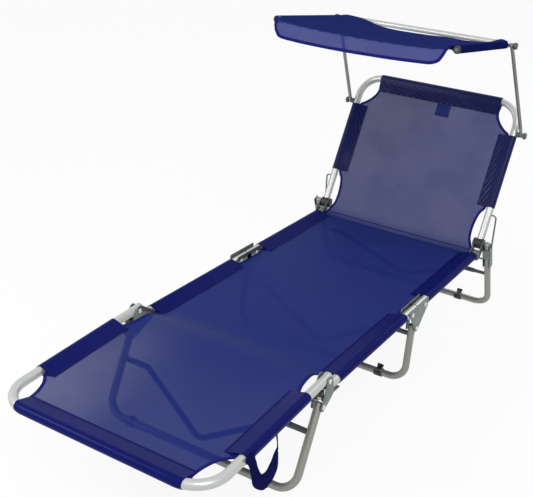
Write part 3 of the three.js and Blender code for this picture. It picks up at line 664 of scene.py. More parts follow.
def patchy_tone(tree, shader, place, base, size, amount):
    """Uneven tone, deeper and lighter by an amount, over patches of a real size."""
    patches = add(tree, "ShaderNodeTexNoise", None, {"Vector": place, "Scale": 1 / size, "Detail": 3.0})
    two_tones(tree, shader, patches.outputs["Fac"], base, deep=1 - amount, light=1 + amount)


def powder_coated_steel(name, base, metallic, roughness):
    """Powder-coated steel tube: a soft metallic sheen with the fine orange peel of the sprayed coat,
    a little duller where it has been rubbed."""
    material, tree, shader = blank_material(name, base, roughness, metallic)
    place = add(tree, "ShaderNodeTexCoord").outputs["Object"]
    patchy_tone(tree, shader, place, base, size=60 * MM, amount=0.05)
    rub = add(tree, "ShaderNodeTexNoise", None, {"Vector": place, "Scale": 1 / (25 * MM), "Detail": 6.0})
    dull = {"Value": rub.outputs["Fac"], "From Min": 0.3, "From Max": 0.7}
    dull.update({"To Min": roughness - 0.06, "To Max": roughness + 0.08})
    add(tree, "ShaderNodeMapRange", None, dull, shader.inputs["Roughness"])
    peel = add(tree, "ShaderNodeTexNoise", None, {"Vector": place, "Scale": 1 / (1.6 * MM), "Detail": 2.0})
    coat = {"Height": peel.outputs["Fac"], "Distance": 0.05 * MM, "Strength": 0.35}
    add(tree, "ShaderNodeBump", None, coat, shader.inputs["Normal"])
    return material


def zinc_plated_steel(name, base):
    """Pressed steel with zinc plating: a cool grey-green metal with a faint spangle and dull handling
    marks."""
    material, tree, shader = blank_material(name, base, roughness=0.42, metallic=0.85)
    place = add(tree, "ShaderNodeTexCoord").outputs["Object"]
    spangle = add(tree, "ShaderNodeTexVoronoi", None, {"Vector": place, "Scale": 1 / (5 * MM)})
    two_tones(tree, shader, spangle.outputs["Color"], base, deep=0.82, light=1.15)
    rub = add(tree, "ShaderNodeTexNoise", None, {"Vector": place, "Scale": 1 / (7 * MM), "Detail": 5.0})
    dull = {"Value": rub.outputs["Fac"], "To Min": 0.3, "To Max": 0.58}
    add(tree, "ShaderNodeMapRange", None, dull, shader.inputs["Roughness"])
    marks = {"Height": rub.outputs["Fac"], "Distance": 0.08 * MM, "Strength": 0.4}
    add(tree, "ShaderNodeBump", None, marks, shader.inputs["Normal"])
    return material


def moulded_plastic(name, base, roughness):
    """Injection-moulded plastic with a fine spark-eroded grain that breaks up its highlights."""
    material, tree, shader = blank_material(name, base, roughness)
    place = add(tree, "ShaderNodeTexCoord").outputs["Object"]
    patchy_tone(tree, shader, place, base, size=12 * MM, amount=0.12)
    grain = add(tree, "ShaderNodeTexNoise", None, {"Vector": place, "Scale": 1 / (0.9 * MM), "Detail": 2.0})
    eroded = {"Height": grain.outputs["Fac"], "Distance": 0.1 * MM, "Strength": 0.5}
    add(tree, "ShaderNodeBump", None, eroded, shader.inputs["Normal"])
    return material


def weave(tree, place, pitch, crossing):
    """Threads that cross at a pitch on the cloth's own map, from 0 between them to 1 on top."""
    split = add(tree, "ShaderNodeSeparateXYZ", None, {"Vector": place})
    threads = {}
    for k, axis in enumerate("XY"):
        turn = {0: split.outputs[axis], 1: math.pi / pitch}
        turned = add(tree, "ShaderNodeMath", {"operation": "MULTIPLY"}, turn)
        wave = add(tree, "ShaderNodeMath", {"operation": "SINE"}, {0: turned.outputs[0]})
        threads[k] = add(tree, "ShaderNodeMath", {"operation": "ABSOLUTE"}, {0: wave.outputs[0]}).outputs[0]
    return add(tree, "ShaderNodeMath", {"operation": crossing}, threads).outputs[0]


def woven_mesh(name, base, pitch, opening, roughness=0.6, specular=0.1, along=(), across=()):
    """Coated yarn woven to an open mesh: what lies behind shows faintly through the gaps between threads.
    How much shows through is scaled along the cloth and across it: painted shade where the floor under it
    lies in shade, painted light where it lies in light."""
    material, tree, shader = blank_material(name, base, roughness, specular=specular)
    place = add(tree, "ShaderNodeUVMap", {"uv_map": "cloth"}).outputs["UV"]
    top = weave(tree, place, pitch, "MAXIMUM")
    split = add(tree, "ShaderNodeSeparateXYZ", None, {"Vector": place})
    smooth = {"interpolation_type": "SMOOTHSTEP"}
    # Ramps of painted shade and painted light, along the cloth and across it
    stretches = list(along)
    for start, end, left, right, near, far in across:
        side = {"Value": split.outputs["X"], "From Min": start, "From Max": end}
        side.update({"To Min": left, "To Max": right})
        stretches.append((near, far, add(tree, "ShaderNodeMapRange", smooth, side).outputs[0], 1.0))
    shares = []
    for start, end, before, after in stretches:
        step = {"Value": split.outputs["Y"], "From Min": start, "From Max": end}
        step.update({"To Min": before, "To Max": after})
        shares.append(add(tree, "ShaderNodeMapRange", smooth, step))
    patches = add(tree, "ShaderNodeTexNoise", None, {"Vector": place, "Scale": 1 / (130 * MM), "Detail": 3.0})
    uneven = {"Value": patches.outputs["Fac"], "To Min": 0.8, "To Max": 1.2}
    shares.append(add(tree, "ShaderNodeMapRange", None, uneven))
    gaps = {"Value": top, "From Min": 0.3, "From Max": 1.0, "To Min": 1.0, "To Max": 0.35}
    shares.append(add(tree, "ShaderNodeMapRange", None, gaps))
    seen = opening
    for share in shares:
        both = {0: seen, 1: share.outputs[0]}
        seen = add(tree, "ShaderNodeMath", {"operation": "MULTIPLY"}, both).outputs[0]
    rest = {"operation": "SUBTRACT", "use_clamp": True}
    add(tree, "ShaderNodeMath", rest, {0: 1.0, 1: seen}, shader.inputs["Alpha"])
    patchy_tone(tree, shader, place, base, size=160 * MM, amount=0.12)
    threads = {"Height": top, "Distance": 0.25 * MM, "Strength": 0.5}
    add(tree, "ShaderNodeBump", None, threads, shader.inputs["Normal"])
    return material


def woven_cloth(name, base, pitch, roughness=0.6, specular=0.05, relief=0.5):
    """Closely woven coated cloth: crossing threads in relief, with a soft sheen on its folds."""
    material, tree, shader = blank_material(name, base, roughness, specular=specular)
    place = add(tree, "ShaderNodeUVMap", {"uv_map": "cloth"}).outputs["UV"]
    patchy_tone(tree, shader, place, base, size=70 * MM, amount=0.12)
    top = weave(tree, place, pitch, "MULTIPLY")
    threads = {"Height": top, "Distance": 0.3 * MM, "Strength": relief}
    add(tree, "ShaderNodeBump", None, threads, shader.inputs["Normal"])
    return material


def seen_directly(tree):
    """1 for what the camera sees by itself, in a gloss or through clear matter, and 0 for lighting."""
    path = add(tree, "ShaderNodeLightPath").outputs
    seen = path["Is Camera Ray"]
    for ray in ("Is Glossy Ray", "Is Transmission Ray"):
        seen = add(tree, "ShaderNodeMath", {"operation": "MAXIMUM"}, {0: seen, 1: path[ray]}).outputs[0]
    return seen


def studio_floor():
    """Matt painted floor that the camera sees as white, with the object's shadow kept faint."""
    material, tree, shader = blank_material("painted_floor", linear("#F4F4F4"), 0.9, specular=0.0)
    glow = add(tree, "ShaderNodeEmission", None, {"Color": (1, 1, 1, 1), "Strength": 1.0})
    share = {0: seen_directly(tree), 1: 0.92}
    white = add(tree, "ShaderNodeMath", {"operation": "MULTIPLY"}, share)
    both = {0: white.outputs[0], 1: shader.outputs[0], 2: glow.outputs[0]}
    add(tree, "ShaderNodeMixShader", None, both, tree.nodes["Material Output"].inputs["Surface"])
    return material


# How much shows through the seat's mesh, as a share of its opening, carries painted shade and light. Along
# the cloth it drops from near the foot bar to past the foot hinge, partly the denser look of a mesh seen at a
# slant and partly painted shade of the floor under the seat, and rises again at the backrest's crease. Across
# it, painted light lifts the left of the foot end and painted shade dims its right. Places are metres on the
# cloth.
SEAT_PAINTED_SHADE_ALONG = [(0.1, 0.62, 1.0, 0.31), (1.36, 1.44, 1.0, 3.9)]  # from, to, share before and after
SEAT_PAINTED_LIGHT_AND_SHADE_ACROSS = [(-0.2, 0.02, 1.5, 0.82, 0.45, 0.85)]  # the same across, and its fading out along


def make_materials(scene):
    """Every finish of the lounger, by a maker's plain name."""
    s = scene.lounger_sizes
    c = {name: tuple(getattr(scene.lounger_colours, name)) for name in LOUNGER_PG_colours.__annotations__}
    webbing = tuple(0.6 * value for value in c["hem"])
    canopy_pitch = 1.4 * MM
    seat = {"along": SEAT_PAINTED_SHADE_ALONG, "across": SEAT_PAINTED_LIGHT_AND_SHADE_ACROSS}
    return {
        # Coats, with their metallic share and roughness: a bright one with a soft sheen, a greyer one on
        # the legs, and a nearly matt dark one
        "silver": powder_coated_steel("powder_coated_steel_silver", c["silver"], 0.6, 0.36),
        "grey": powder_coated_steel("powder_coated_steel_grey", c["grey"], 0.5, 0.4),
        "dark": powder_coated_steel("powder_coated_steel_dark", c["dark"], 0.2, 0.5),
        # Zinc plate: dull and greenish on the brackets, bright on rivets and pins
        "zinc": zinc_plated_steel("zinc_plated_steel_pressed", c["zinc"]),
        "bright": zinc_plated_steel("zinc_plated_steel_bright", c["bright"]),
        # Mouldings, with their roughness: black ones look dense and satin, the grey of the knobs chalkier
        "black": moulded_plastic("polypropylene_black_moulded", c["black"], 0.5),
        "knob": moulded_plastic("nylon_grey_moulded", c["knob"], 0.45),
        # Seat mesh, with its opening, roughness and gloss: a bright blue net that the floor shines through,
        # with painted shade and light in how much of it shows.
        # The real yarn is under 1 mm thick, and is drawn coarser so that it shows.
        "mesh": woven_mesh("coated_yarn_mesh_woven", c["mesh"], s.weave, 0.42, 0.6, 0.1, **seat),
        # Hems of the same yarn in layers, with their roughness, gloss and relief: deep and plain, smooth
        # with a low gloss, and creased with a sheen, in a greyer colour that is painted sheen. The tape that
        # binds the edges is a little brighter.
        "hem": woven_cloth("coated_yarn_hem_woven", c["hem"], s.weave, 0.4, 0.03, 0.12),
        "smooth": woven_cloth("coated_yarn_hem_smooth", c["hem"], s.weave, 0.34, 0.055, 0.12),
        "creased": woven_cloth("coated_yarn_hem_creased", c["creased"], s.weave, 0.36, 0.14, 0.12),
        "binding": woven_cloth("edge_tape_woven", c["binding"], 1.2 * MM, 0.6),
        # Canopy: a close matt cloth on top, dark hems, and an open valance that the light comes through
        "canopy": woven_mesh("canopy_cloth_woven", c["canopy"], canopy_pitch, 0.05, 0.7, 0.0),
        "canopy_hem": woven_cloth("canopy_hem_woven", c["canopy_hem"], canopy_pitch, 0.7, 0.0, 0.2),
        "valance": woven_mesh("valance_cloth_woven", c["valance_cloth"], canopy_pitch, 0.46),
        "tab": woven_cloth("tab_cloth_woven", c["canopy"], 1.0 * MM, 0.6, 0.05, 0.2),
        # Webbing and thread: nearly black in shade, matt and coarsely ribbed
        "webbing": woven_cloth("polypropylene_webbing_woven", webbing, 1.6 * MM, 0.7, 0.02, 0.8),
        "thread": woven_cloth("polyester_thread_twisted", c["thread"], 0.6 * MM, 0.7),
    }


MATERIALS = {}


# Tubes


def bow(plane, wide, start, end, bend):
    """Points of a tube that runs out at one side, over its end bar and back at the other side."""
    corners = [(wide, start), (wide, end), (-wide, end), (-wide, start)]
    return bent_points([plane.at(x, along) for x, along in corners], bend)


def end_frames(s, m):
    """Frames of the foot section and the backrest, each one tube bent round at its end."""
    p = planes(s)
    foot = bow(p["foot"], s.rail, 16 * MM, -SECTION_LENGTH["foot"], s.corner)
    back = bow(p["back"], s.rail, -12 * MM, SECTION_LENGTH["back"], s.corner)
    for name, points, body in (("foot", foot, "foot_section"), ("backrest", back, "backrest")):
        piece = tube(f"{name}_tube", points, s.tube, s.wall)
        dress(piece, m["silver"], body, [f"{name}_frame"])


def rails(s, m):
    """Straight side rails of the middle and rear sections."""
    for section in ("middle", "rear"):
        for side_name, side in SIDES:
            node = f"{section}_rail_{side_name}"
            low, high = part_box(node)
            height = (low.z + high.z) / 2
            points = [Vector((side * s.rail, y, height)) for y in spread(low.y, high.y, 40 * MM)]
            piece = tube(f"{section}_rail_tube_{side_name}", points, s.tube, s.wall)
            dress(piece, m["silver"], f"{section}_section", [node])


def legs(s, m):
    """Three bent leg tubes with closed tops, and their braces."""
    for name, (joint, lean, body) in LEGS.items():
        plane, end = leg_plane(joint, lean), leg_length(name)
        wide = half_width(f"{name}_leg") - s.leg_tube
        points = bow(plane, wide, -4 * MM, end, s.leg_bend)
        piece = tube(f"{name}_leg_tube", points, s.leg_tube, sides=28, dome=5.5 * MM)
        dress(piece, m["grey"], body, [f"{name}_leg"])
        brace(s, m, name, plane, end, wide, body)


def brace(s, m, name, plane, end, wide, body):
    """A brace bowed down between the legs: flat ears at the leg, round between them."""
    reach = wide - s.leg_tube - FIT
    high, low, shoulder = end - 140 * MM, end - 28 * MM, reach - 66 * MM
    ear, taper, squeeze = 42 * MM, 20 * MM, 0.55
    corners = [(reach, high), (shoulder, high), (0, low), (-shoulder, high), (-reach, high)]
    points = bent_points([plane.at(x, along) for x, along in corners], s.brace_bend, 10)
    points = between(points, 8 * MM)
    rings = []
    for point, ring in zip(points, rings_along(points, circle(s.brace, 20))):
        flat = min(1.0, max(0.0, (ear - (reach - abs(point.x))) / taper))
        flat = flat * flat * (3 - 2 * flat)
        rings.append([q - plane.up * (q - point).dot(plane.up) * squeeze * flat for q in ring])
    dress(loft(f"{name}_brace_tube", rings), m["dark"], body, [f"{name}_brace"])


def wire_support(s, m):
    """The wire that hangs from the backrest's tubes and stands in the teeth of the rear leg."""
    low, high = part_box("wire_support")
    pivot, inside, bend = PLACE["wire_swing"], s.rail - s.tube / 2, 9 * MM
    wide, bar_y, bar_z = high.x - s.wire, high.y - s.wire, low.z + s.wire
    corners = [(inside, pivot.y, pivot.z), (wide, pivot.y, pivot.z), (wide, bar_y, bar_z)]
    corners += [(-x, y, z) for x, y, z in reversed(corners)]
    rings = rings_along(bent_points(corners, bend, 8), circle(s.wire, 14))
    dress(loft("wire_bail", rings), m["zinc"], "wire_bail", ["wire_support"])


def canopy_frame(s, m):
    """The canopy's bent tube, closed behind and open in front."""
    points = bow(planes(s)["canopy"], canopy_reach(s), CANOPY_FRONT, 32 * MM, s.canopy_bend)
    piece = tube("canopy_tube", points, s.canopy_tube, wall=1.0 * MM, sides=24)
    dress(piece, m["silver"], "canopy", ["canopy_frame"])


class LOUNGER_OT_tubes(bpy.types.Operator):
    """Bent tubes of the frame, legs and canopy, with the braces and the wire support"""

    bl_idname = "lounger.tubes"
    bl_label = "Tubes"

    def execute(self, context):
        s = context.scene.lounger_sizes
        for make in (end_frames, rails, legs, wire_support, canopy_frame):
            make(s, MATERIALS)
        return {"FINISHED"}


# Seat cloth


def deck_line(s):
    """The line that the seat cloth follows, from the foot bar over the hinges and up the backrest."""
    p = planes(s)
    foot, back, flat = p["foot"], p["back"], p["seat"].origin.z
    foot_bar, top_bar = foot.at(0, -SECTION_LENGTH["foot"]), back.at(0, SECTION_LENGTH["back"])
    hinge = foot.at(0, 6 * MM, -2 * MM)
    level = Vector((0, foot.origin.y + 52 * MM, flat))
    crease = back.at(0, -(back.origin.z - flat) / math.sin(s.lean))
    points = bent_points([foot_bar, hinge, level, crease], 60 * MM, 8)[:-1]
    points += bent_points([points[-1], crease, top_bar], 10 * MM, 8)[1:]
    return points


class ClothPath:
    """Places along the seat cloth by distance from the foot bar, and the distances of some by name."""

    def __init__(self, s):
        self.points = deck_line(s)
        self.marks = [0.0]
        for a, b in zip(self.points, self.points[1:]):
            self.marks.append(self.marks[-1] + (b - a).length)
        p = planes(s)
        self.places = {
            "foot bar": 0.0,
            "foot hinge": self.nearest(p["foot"].origin),
            "middle": self.nearest(p["seat"].origin),
            "crease": self.nearest(p["back"].at(0, -CREASE_BELOW)),
            "top": self.nearest(p["back"].at(0, SECTION_LENGTH["back"])),
        }
        self.places["hip"] = self.places["crease"] + CREASE_BELOW

    def at(self, distance):
        """The point and the upward normal at a distance."""
        distance = min(max(distance, 0.0), self.marks[-1])
        i = next(k for k in range(len(self.marks) - 1) if distance <= self.marks[k + 1] + 1e-9)
        a, b = self.points[i], self.points[i + 1]
        span = max(self.marks[i + 1] - self.marks[i], 1e-9)
        point = a.lerp(b, (distance - self.marks[i]) / span)
        before = self.points[max(i - 1, 0)]
        after = self.points[min(i + 2, len(self.points) - 1)]
        near = (b - a).normalized()
        share = (distance - self.marks[i]) / span
        blend_in = (a - before).normalized() if i else near
        blend_out = (after - b).normalized() if i < len(self.points) - 2 else near
        along = (blend_in.lerp(near, 0.5) * (1 - share) + near.lerp(blend_out, 0.5) * share).normalized()
        return point, Vector((0, -along.z, along.y))

    def nearest(self, place):
        """The distance of the path's point nearest to a place."""
        best = min(range(len(self.points)), key=lambda k: (self.points[k] - place).length)
        candidates = []
        for i in (max(best - 1, 0), min(best, len(self.points) - 2)):
            a, b = self.points[i], self.points[i + 1]
            t = min(1.0, max(0.0, (place - a).dot(b - a) / (b - a).length_squared))
            candidates.append(((a.lerp(b, t) - place).length, self.marks[i] + t * (b - a).length))
        return min(candidates)[1]


def cloth_outline(s, path):
    """Half widths of the cloth by distance: tucked into the sleeves, scalloped at corners and hinges."""
    tucked = s.rail - 14 * MM
    outline = []
    for place, edge in CLOTH_EDGE.items():
        outline += [(path.places[place] + d * MM, tucked - drawn * MM) for d, drawn in edge]
    return outline


def cloth_height(s, path, x, distance):
    """How far the cloth lies off the tube plane: its sag, shallow pulls in the weave, and a bridge
    over the step between the foot hinge and the lower rails."""
    across = max(0.0, 1 - min(1.0, abs(x) / (s.rail - s.hem)) ** 2)
    ends = max(0.0, min(1.0, distance / (90 * MM), (path.marks[-1] - distance) / (110 * MM)))
    pull = unevenness(x, distance, 120 * MM, 170 * MM, 3.1) * 1.6 * MM
    fine = unevenness(x, distance, 38 * MM, 60 * MM, 7.7) * 0.5 * MM
    step = (distance - path.places["foot hinge"] - 52 * MM) / (30 * MM)
    bridge = 11 * MM * math.exp(-(step**2))
    return (bridge + pull + fine) * across**0.6 - s.sag * across * ends


def cloth_point(s, path, outline, distance, share):
    """A point of the seat cloth, by distance and by its share from the middle to the edge."""
    x = share * through(outline, distance)
    point, normal = path.at(distance)
    return Vector((x, point.y, point.z)) + normal * cloth_height(s, path, x, distance)


def cloth_piece(name, s, m, path, outline, start, end, nodes):
    """One stretch of the continuous seat cloth, with its flat size and its area."""
    shares = [2 * k / 48 - 1 for k in range(49)]
    stations = spread(start, end, 6 * MM)
    halves = [through(outline, d) for d in stations]
    rows = [[cloth_point(s, path, outline, d, share) for share in shares] for d in stations]
    maps = [[(share * half, d) for share in shares] for d, half in zip(stations, halves)]
    area = sum((a + b) * (d1 - d0) for a, b, d0, d1 in zip(halves, halves[1:], stations, stations[1:]))
    obj = sheet_grid(name, rows, maps, s.cloth)
    dress(obj, m["mesh"], None, nodes)
    return obj, (2 * max(halves), end - start), area


def edge_tape(name, s, m, points, inward, normals):
    """Binding folded over a free edge of the cloth: a flat band that laps onto both of its faces."""
    half, thick, over = s.binding / 2, 1.5 * MM, 0.8 * MM
    section = [(half * a, thick * math.copysign(abs(b) ** 0.6, b)) for a, b in circle(1.0, 14)]
    rings = []
    for point, into, normal in zip(points, inward, normals):
        centre = point + into * (half - over)
        rings.append([centre + into * a + normal * b for a, b in section])
    obj = loft(name, rings)
    add_map(obj)
    dress(obj, m["binding"], None, ())
    return obj


def add_map(obj):
    """A map in metres for small cloth pieces, from the place of each vertex."""
    layer = obj.data.uv_layers.new(name="cloth")
    for loop in obj.data.loops:
        co = obj.data.vertices[loop.vertex_index].co
        layer.data[loop.index].uv = (co.x + 0.7 * co.z, co.y + 0.7 * co.z)


def scallop_tape(name, s, m, path, outline, start, end, side):
    """Binding along one side edge of the seat cloth."""
    stations = spread(start, end, 4 * MM)
    points = [cloth_point(s, path, outline, d, side) for d in stations]
    normals = [path.at(d)[1] for d in stations]
    inward = []
    for i, normal in enumerate(normals):
        before, after = points[max(i - 1, 0)], points[min(i + 1, len(points) - 1)]
        inward.append(side * normal.cross((after - before).normalized()).normalized())
    if inward[0].x * side > 0:
        inward = [-v for v in inward]
    return edge_tape(name, s, m, points, inward, normals)


def seat_cloth(s, m):
    """The seat cloth in five stretches, each across one hinge, with its bindings."""
    p = planes(s)
    path = ClothPath(s)
    outline = cloth_outline(s, path)
    hinge, middle, crease, hip = (path.places[k] for k in ("foot hinge", "middle", "crease", "hip"))
    start, end = 8 * MM, path.marks[-1] - 8 * MM
    first, second = (hinge + middle) / 2, (middle + crease) / 2
    seat, back = p["seat"], p["back"]
    fold, near = PLACE["rear_fold"].y - seat.origin.y, 25 * MM
    below_hip = Vector((0, back.origin.y, seat.origin.z))
    # Name, start and end along the cloth, nodes, and the two bodies with the places where they take hold
    stretches = [
        ("foot_cloth", start, first, ["foot_panel"], "foot_section", "middle_section",
         p["foot"].at(0, -22 * MM), p["foot"].at(0, 22 * MM)),
        ("middle_cloth", first, middle, ["middle_panel"], "middle_section", "centre_brackets",
         seat.at(0, -fold - near), seat.at(0, -fold + near)),
        ("rear_cloth", middle, second, [], "centre_brackets", "rear_section",
         seat.at(0, fold - near), seat.at(0, fold + near)),
        ("hip_cloth", second, crease, ["rear_panel"], "rear_section", "backrest_pivots",
         below_hip - Vector((0, 60 * MM, 0)), below_hip - Vector((0, 10 * MM, 0))),
        ("backrest_cloth", crease, end, ["backrest_panel"], "backrest_pivots", "backrest",
         back.at(0, -20 * MM), back.at(0, 40 * MM)),
    ]
    # Where the edges are bound: stretch, start and end along the cloth
    bound = [
        ("foot_cloth", 6 * MM, 124 * MM),
        ("foot_cloth", hinge - 88 * MM, hinge + 66 * MM),
        ("middle_cloth", middle - 76 * MM, middle),
        ("rear_cloth", middle, middle + 76 * MM),
        ("hip_cloth", crease - 26 * MM, crease),
        ("backrest_cloth", crease, hip + 114 * MM),
        ("backrest_cloth", hip + 335 * MM, path.marks[-1] - 6 * MM),
    ]
    for name, d0, d1, nodes, *hold in stretches:
        obj, flat, area = cloth_piece(name, s, m, path, outline, d0, d1, nodes)
        for k, (stretch, tape_start, tape_end) in enumerate(bound):
            for side_name, side in SIDES if stretch == name else ():
                title = f"{name}_tape_{k}_{side_name}"
                tape = scallop_tape(title, s, m, path, outline, tape_start, tape_end, side)
                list(hold)
                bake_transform(tape)
        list(hold)
        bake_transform(obj)
        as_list(nodes or ["rear_panel"])
    seam(s, m, path, outline, crease + 3 * MM)
    label_tab(s, m, path, hip + 375 * MM)


def seam(s, m, path, outline, distance):
    """The raised seam across the cloth at the crease of the backrest."""
    reach, lift = 0.97, 0.6 * MM
    shares = [reach * (2 * k / 40 - 1) for k in range(41)]
    normal = path.at(distance)[1]
    points = [cloth_point(s, path, outline, distance, share) + normal * lift for share in shares]
    obj = loft("crease_seam", rings_along(points, circle(1.3 * MM, 8)))
    add_map(obj)
    dress(obj, m["thread"], "backrest_pivots", ())


def label_tab(s, m, path, distance):
    """A plain cloth tab sewn below the top hem, a little right of the middle."""
    half, left, right, lift, thick = 22 * MM, 4 * MM, 50 * MM, 1.1 * MM, 0.8 * MM
    rows, maps = [], []
    for d in spread(distance - half, distance + half, 6 * MM):
        point, normal = path.at(d)
        across = spread(left, right, 6 * MM)
        heights = [cloth_height(s, path, x, d) + lift for x in across]
        rows.append([Vector((x, point.y, point.z)) + normal * h for x, h in zip(across, heights)])
        maps.append([(x, d) for x in across])
    obj = sheet_grid("backrest_tab", rows, maps, thick)
    dress(obj, m["tab"], "backrest", ())


# Sleeves


def sleeve_section(radius, hem):
    """The line of a sleeve in a plane across its tube, from the lower hem edge round to the upper one."""
    lap, flat = 5 * MM, 0.8 * MM
    reach = math.acos(radius / hem)
    edge = (radius * math.cos(reach), radius * math.sin(reach))
    upper = [(hem + lap, 0.9 * flat), (hem, flat)]
    for k in range(1, 20):
        t = k / 20
        upper.append((hem + (edge[0] - hem) * t, flat + (edge[1] - flat) * t))
    round_tube = []
    for k in range(25):
        a = -reach - (2 * math.pi - 2 * reach) * k / 24
        round_tube.append((radius * math.cos(a), radius * math.sin(a)))
    return [(u, -h) for u, h in upper] + round_tube + list(reversed(upper))


def pucker(u, v, radius, hem, folds, seed):
    """Small wrinkles that run slantwise from the stitch line to the tube. Folds give their depth, their
    slant across and along the sleeve, and their spacing."""
    depth, across, along, spacing = folds
    edge = 0.9 * radius
    if u < edge:
        return unevenness(u, v, 30 * MM, 40 * MM, seed) * 0.15 * MM
    flat = min(1.0, (u - edge) / (8 * MM)) * (1 - 0.6 * max(0.0, (u - hem) / (5 * MM)))
    drift = 3 * unevenness(v, u, 50 * MM, 50 * MM, seed)
    ridge = math.sin((along * v + across * u) * 2 * math.pi / spacing + drift)
    swell = 0.6 + 0.8 * unevenness(v, u, 60 * MM, 20 * MM, seed)
    return depth * ridge * swell * flat


def sleeve(name, s, m, place, start, end, body, folds, seed):
    """A sleeve between two places; place(u, h, v) turns its own coordinates into the row frame.
    Returns its body and the line of its stitches."""
    line = sleeve_section(s.sleeve, s.hem)
    run = [0.0]
    for (u0, h0), (u1, h1) in zip(line, line[1:]):
        run.append(run[-1] + math.hypot(u1 - u0, h1 - h0))
    rows, maps = [], []
    for v in spread(start, end, 4 * MM):
        row = []
        for u, h in line:
            wrinkle = pucker(u, v, s.sleeve, s.hem, folds, seed)
            row.append(place(u, h + wrinkle if h > 0 else h - wrinkle, v))
        rows.append(row)
        maps.append([(r, v) for r in run])
    obj = sheet_grid(name, rows, maps, s.cloth)
    finish = {"backrest": "creased", "foot_section": "smooth"}.get(body, "hem")
    dress(obj, m[finish], body, ())
    seam_at, lift = s.hem + 1.5 * MM, 1.0 * MM + s.cloth / 2 + s.thread / 3
    row = []
    for v in spread(start + 4 * MM, end - 4 * MM, 5 * MM):
        row.append(place(seam_at, lift + pucker(seam_at, v, s.sleeve, s.hem, folds, seed), v))
    return body, row


def side_sleeves(s, m):
    """Sleeves round the side tubes, wrinkled more on the backrest."""
    p = planes(s)
    plain, creased = (0.3 * MM, 0.9, 1.0, 17 * MM), (0.7 * MM, 1.0, 0.5, 13 * MM)
    # Name, plane, start and end along it from its hinge, body and wrinkles
    spans = [
        ("foot", p["foot"], -325 * MM, -80 * MM, "foot_section", plain),
        ("middle", p["seat"], -435 * MM, -70 * MM, "middle_section", plain),
        ("rear", p["seat"], 70 * MM, 431 * MM, "rear_section", plain),
        ("backrest", p["back"], 112 * MM, 337 * MM, "backrest", creased),
    ]
    rows = []
    for k, (section, flat, start, end, body, folds) in enumerate(spans):
        for side_name, side in SIDES:
            place = lambda u, h, v, side=side, flat=flat: flat.at(side * (s.rail - u), v, h)
            name = f"{section}_sleeve_{side_name}"
            rows.append(sleeve(name, s, m, place, start, end, body, folds, k * 2.3 + side))
    return rows


def end_sleeves(s, m):
    """Sleeves on the foot bar and on the top bar, which follow the first of the bend."""
    p = planes(s)
    straight = s.rail - s.corner
    rows = []
    for section, plane, sign, half, body, folds in (
        ("foot", "foot", 1, 213 * MM, "foot_section", (0.25 * MM, 0.9, 1.0, 17 * MM)),
        ("top", "back", -1, 202 * MM, "backrest", (2.6 * MM, 1.0, -0.45, 10 * MM)),
    ):
        flat, end = p[plane], SECTION_LENGTH[plane]

        def place(u, h, v, flat=flat, end=end, sign=sign):
            over = max(0.0, abs(v) - straight)
            bend = s.corner - math.sqrt(s.corner**2 - over**2)
            return flat.at(v, sign * (-end + u + bend * max(0.0, 1 - u / s.hem)), h)

        rows.append(sleeve(f"{section}_bar_sleeve", s, m, place, -half, half, body, folds, 9.1 * sign))
    return rows


class LOUNGER_OT_seat_cloth(bpy.types.Operator):
    """Seat cloth, its sleeves round the tubes, bindings, stitches, seam and tab"""

    bl_idname = "lounger.seat_cloth"
    bl_label = "Seat cloth"

    def execute(self, context):
        s = context.scene.lounger_sizes
        seat_cloth(s, MATERIALS)
        sewn = {}
        for body, row in side_sleeves(s, MATERIALS) + end_sleeves(s, MATERIALS):
            sewn.setdefault(body, []).append(row)
        for body, rows in sewn.items():
            stitches(f"{body}_stitches", s, MATERIALS, body, rows)
        return {"FINISHED"}


# Canopy


def canopy_height(x, depth):
    """Height of the canopy cloth above its tubes: over the side tubes and hollow between them.
    The depth runs from 0 at the rear edge to 1 at the front crease."""
    rear, front = ([(a * MM, h * MM) for a, h in edge] for edge in (REAR_EDGE, FRONT_EDGE))
    share = depth**0.7
    return through(rear, x) * (1 - share) + through(front, x) * share


def canopy_point(p, x, depth):
    """A point of the canopy top; its right front corner draws in beside the end cap."""
    middle = 1 - (x / CANOPY_HALF) ** 2
    rear = -2 * MM - 8 * MM * middle
    y = rear + (CANOPY_CREASE - rear) * depth
    corner = max(0.0, x - 200 * MM) / (53 * MM) * max(0.0, (depth - 0.9) / 0.1) ** 2
    ripple = unevenness(x, y, 70 * MM, 120 * MM, 4.2) * 1.6 * MM
    ripple += unevenness(x + y, x - y, 60 * MM, 18 * MM, 2.7) * 1.1 * MM
    ripple *= math.sin(math.pi * min(1.0, max(0.0, depth))) * middle
    return p.at(x - 15 * MM * corner, y, canopy_height(x, depth) + ripple)


def valance_drop(s, share):
    """Drop of the valance below its crease, with its lower corners cut round."""
    across = (share + 1) / 2 * VALANCE_WIDTH
    edge = min(across, VALANCE_WIDTH - across)
    reach, rise = (53 * MM, 22 * MM) if share > 0 else (32 * MM, 18 * MM)
    cut = max(0.0, 1 - edge / reach)
    return s.valance - 2.5 * MM * share - rise * (1 - math.sqrt(max(0.0, 1 - cut * cut)))


def canopy_tapes(s, m, p, rows):
    """Bindings round the valance's free edge and along the canopy's rear edge."""
    left, right = [row[0] for row in rows[-16:]], [row[-1] for row in rows[-16:]]
    line = left + rows[-1][1:-1] + list(reversed(right))
    centre = sum(line, Vector()) / len(line) + p.up * 12 * MM
    out = -p.along
    inward = []
    for i, q in enumerate(line):
        before, after = line[max(i - 1, 0)], line[min(i + 1, len(line) - 1)]
        across = (after - before).normalized().cross(out).normalized()
        inward.append(across if across.dot(centre - q) > 0 else -across)
    front = edge_tape("valance_tape", s, m, line, inward, [out] * len(line))
    rear = edge_tape("canopy_rear_tape", s, m, rows[0], [out] * len(rows[0]), [p.up] * len(rows[0]))
    for tape in (front, rear):
        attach(tape, "canopy")
    return [front, rear]


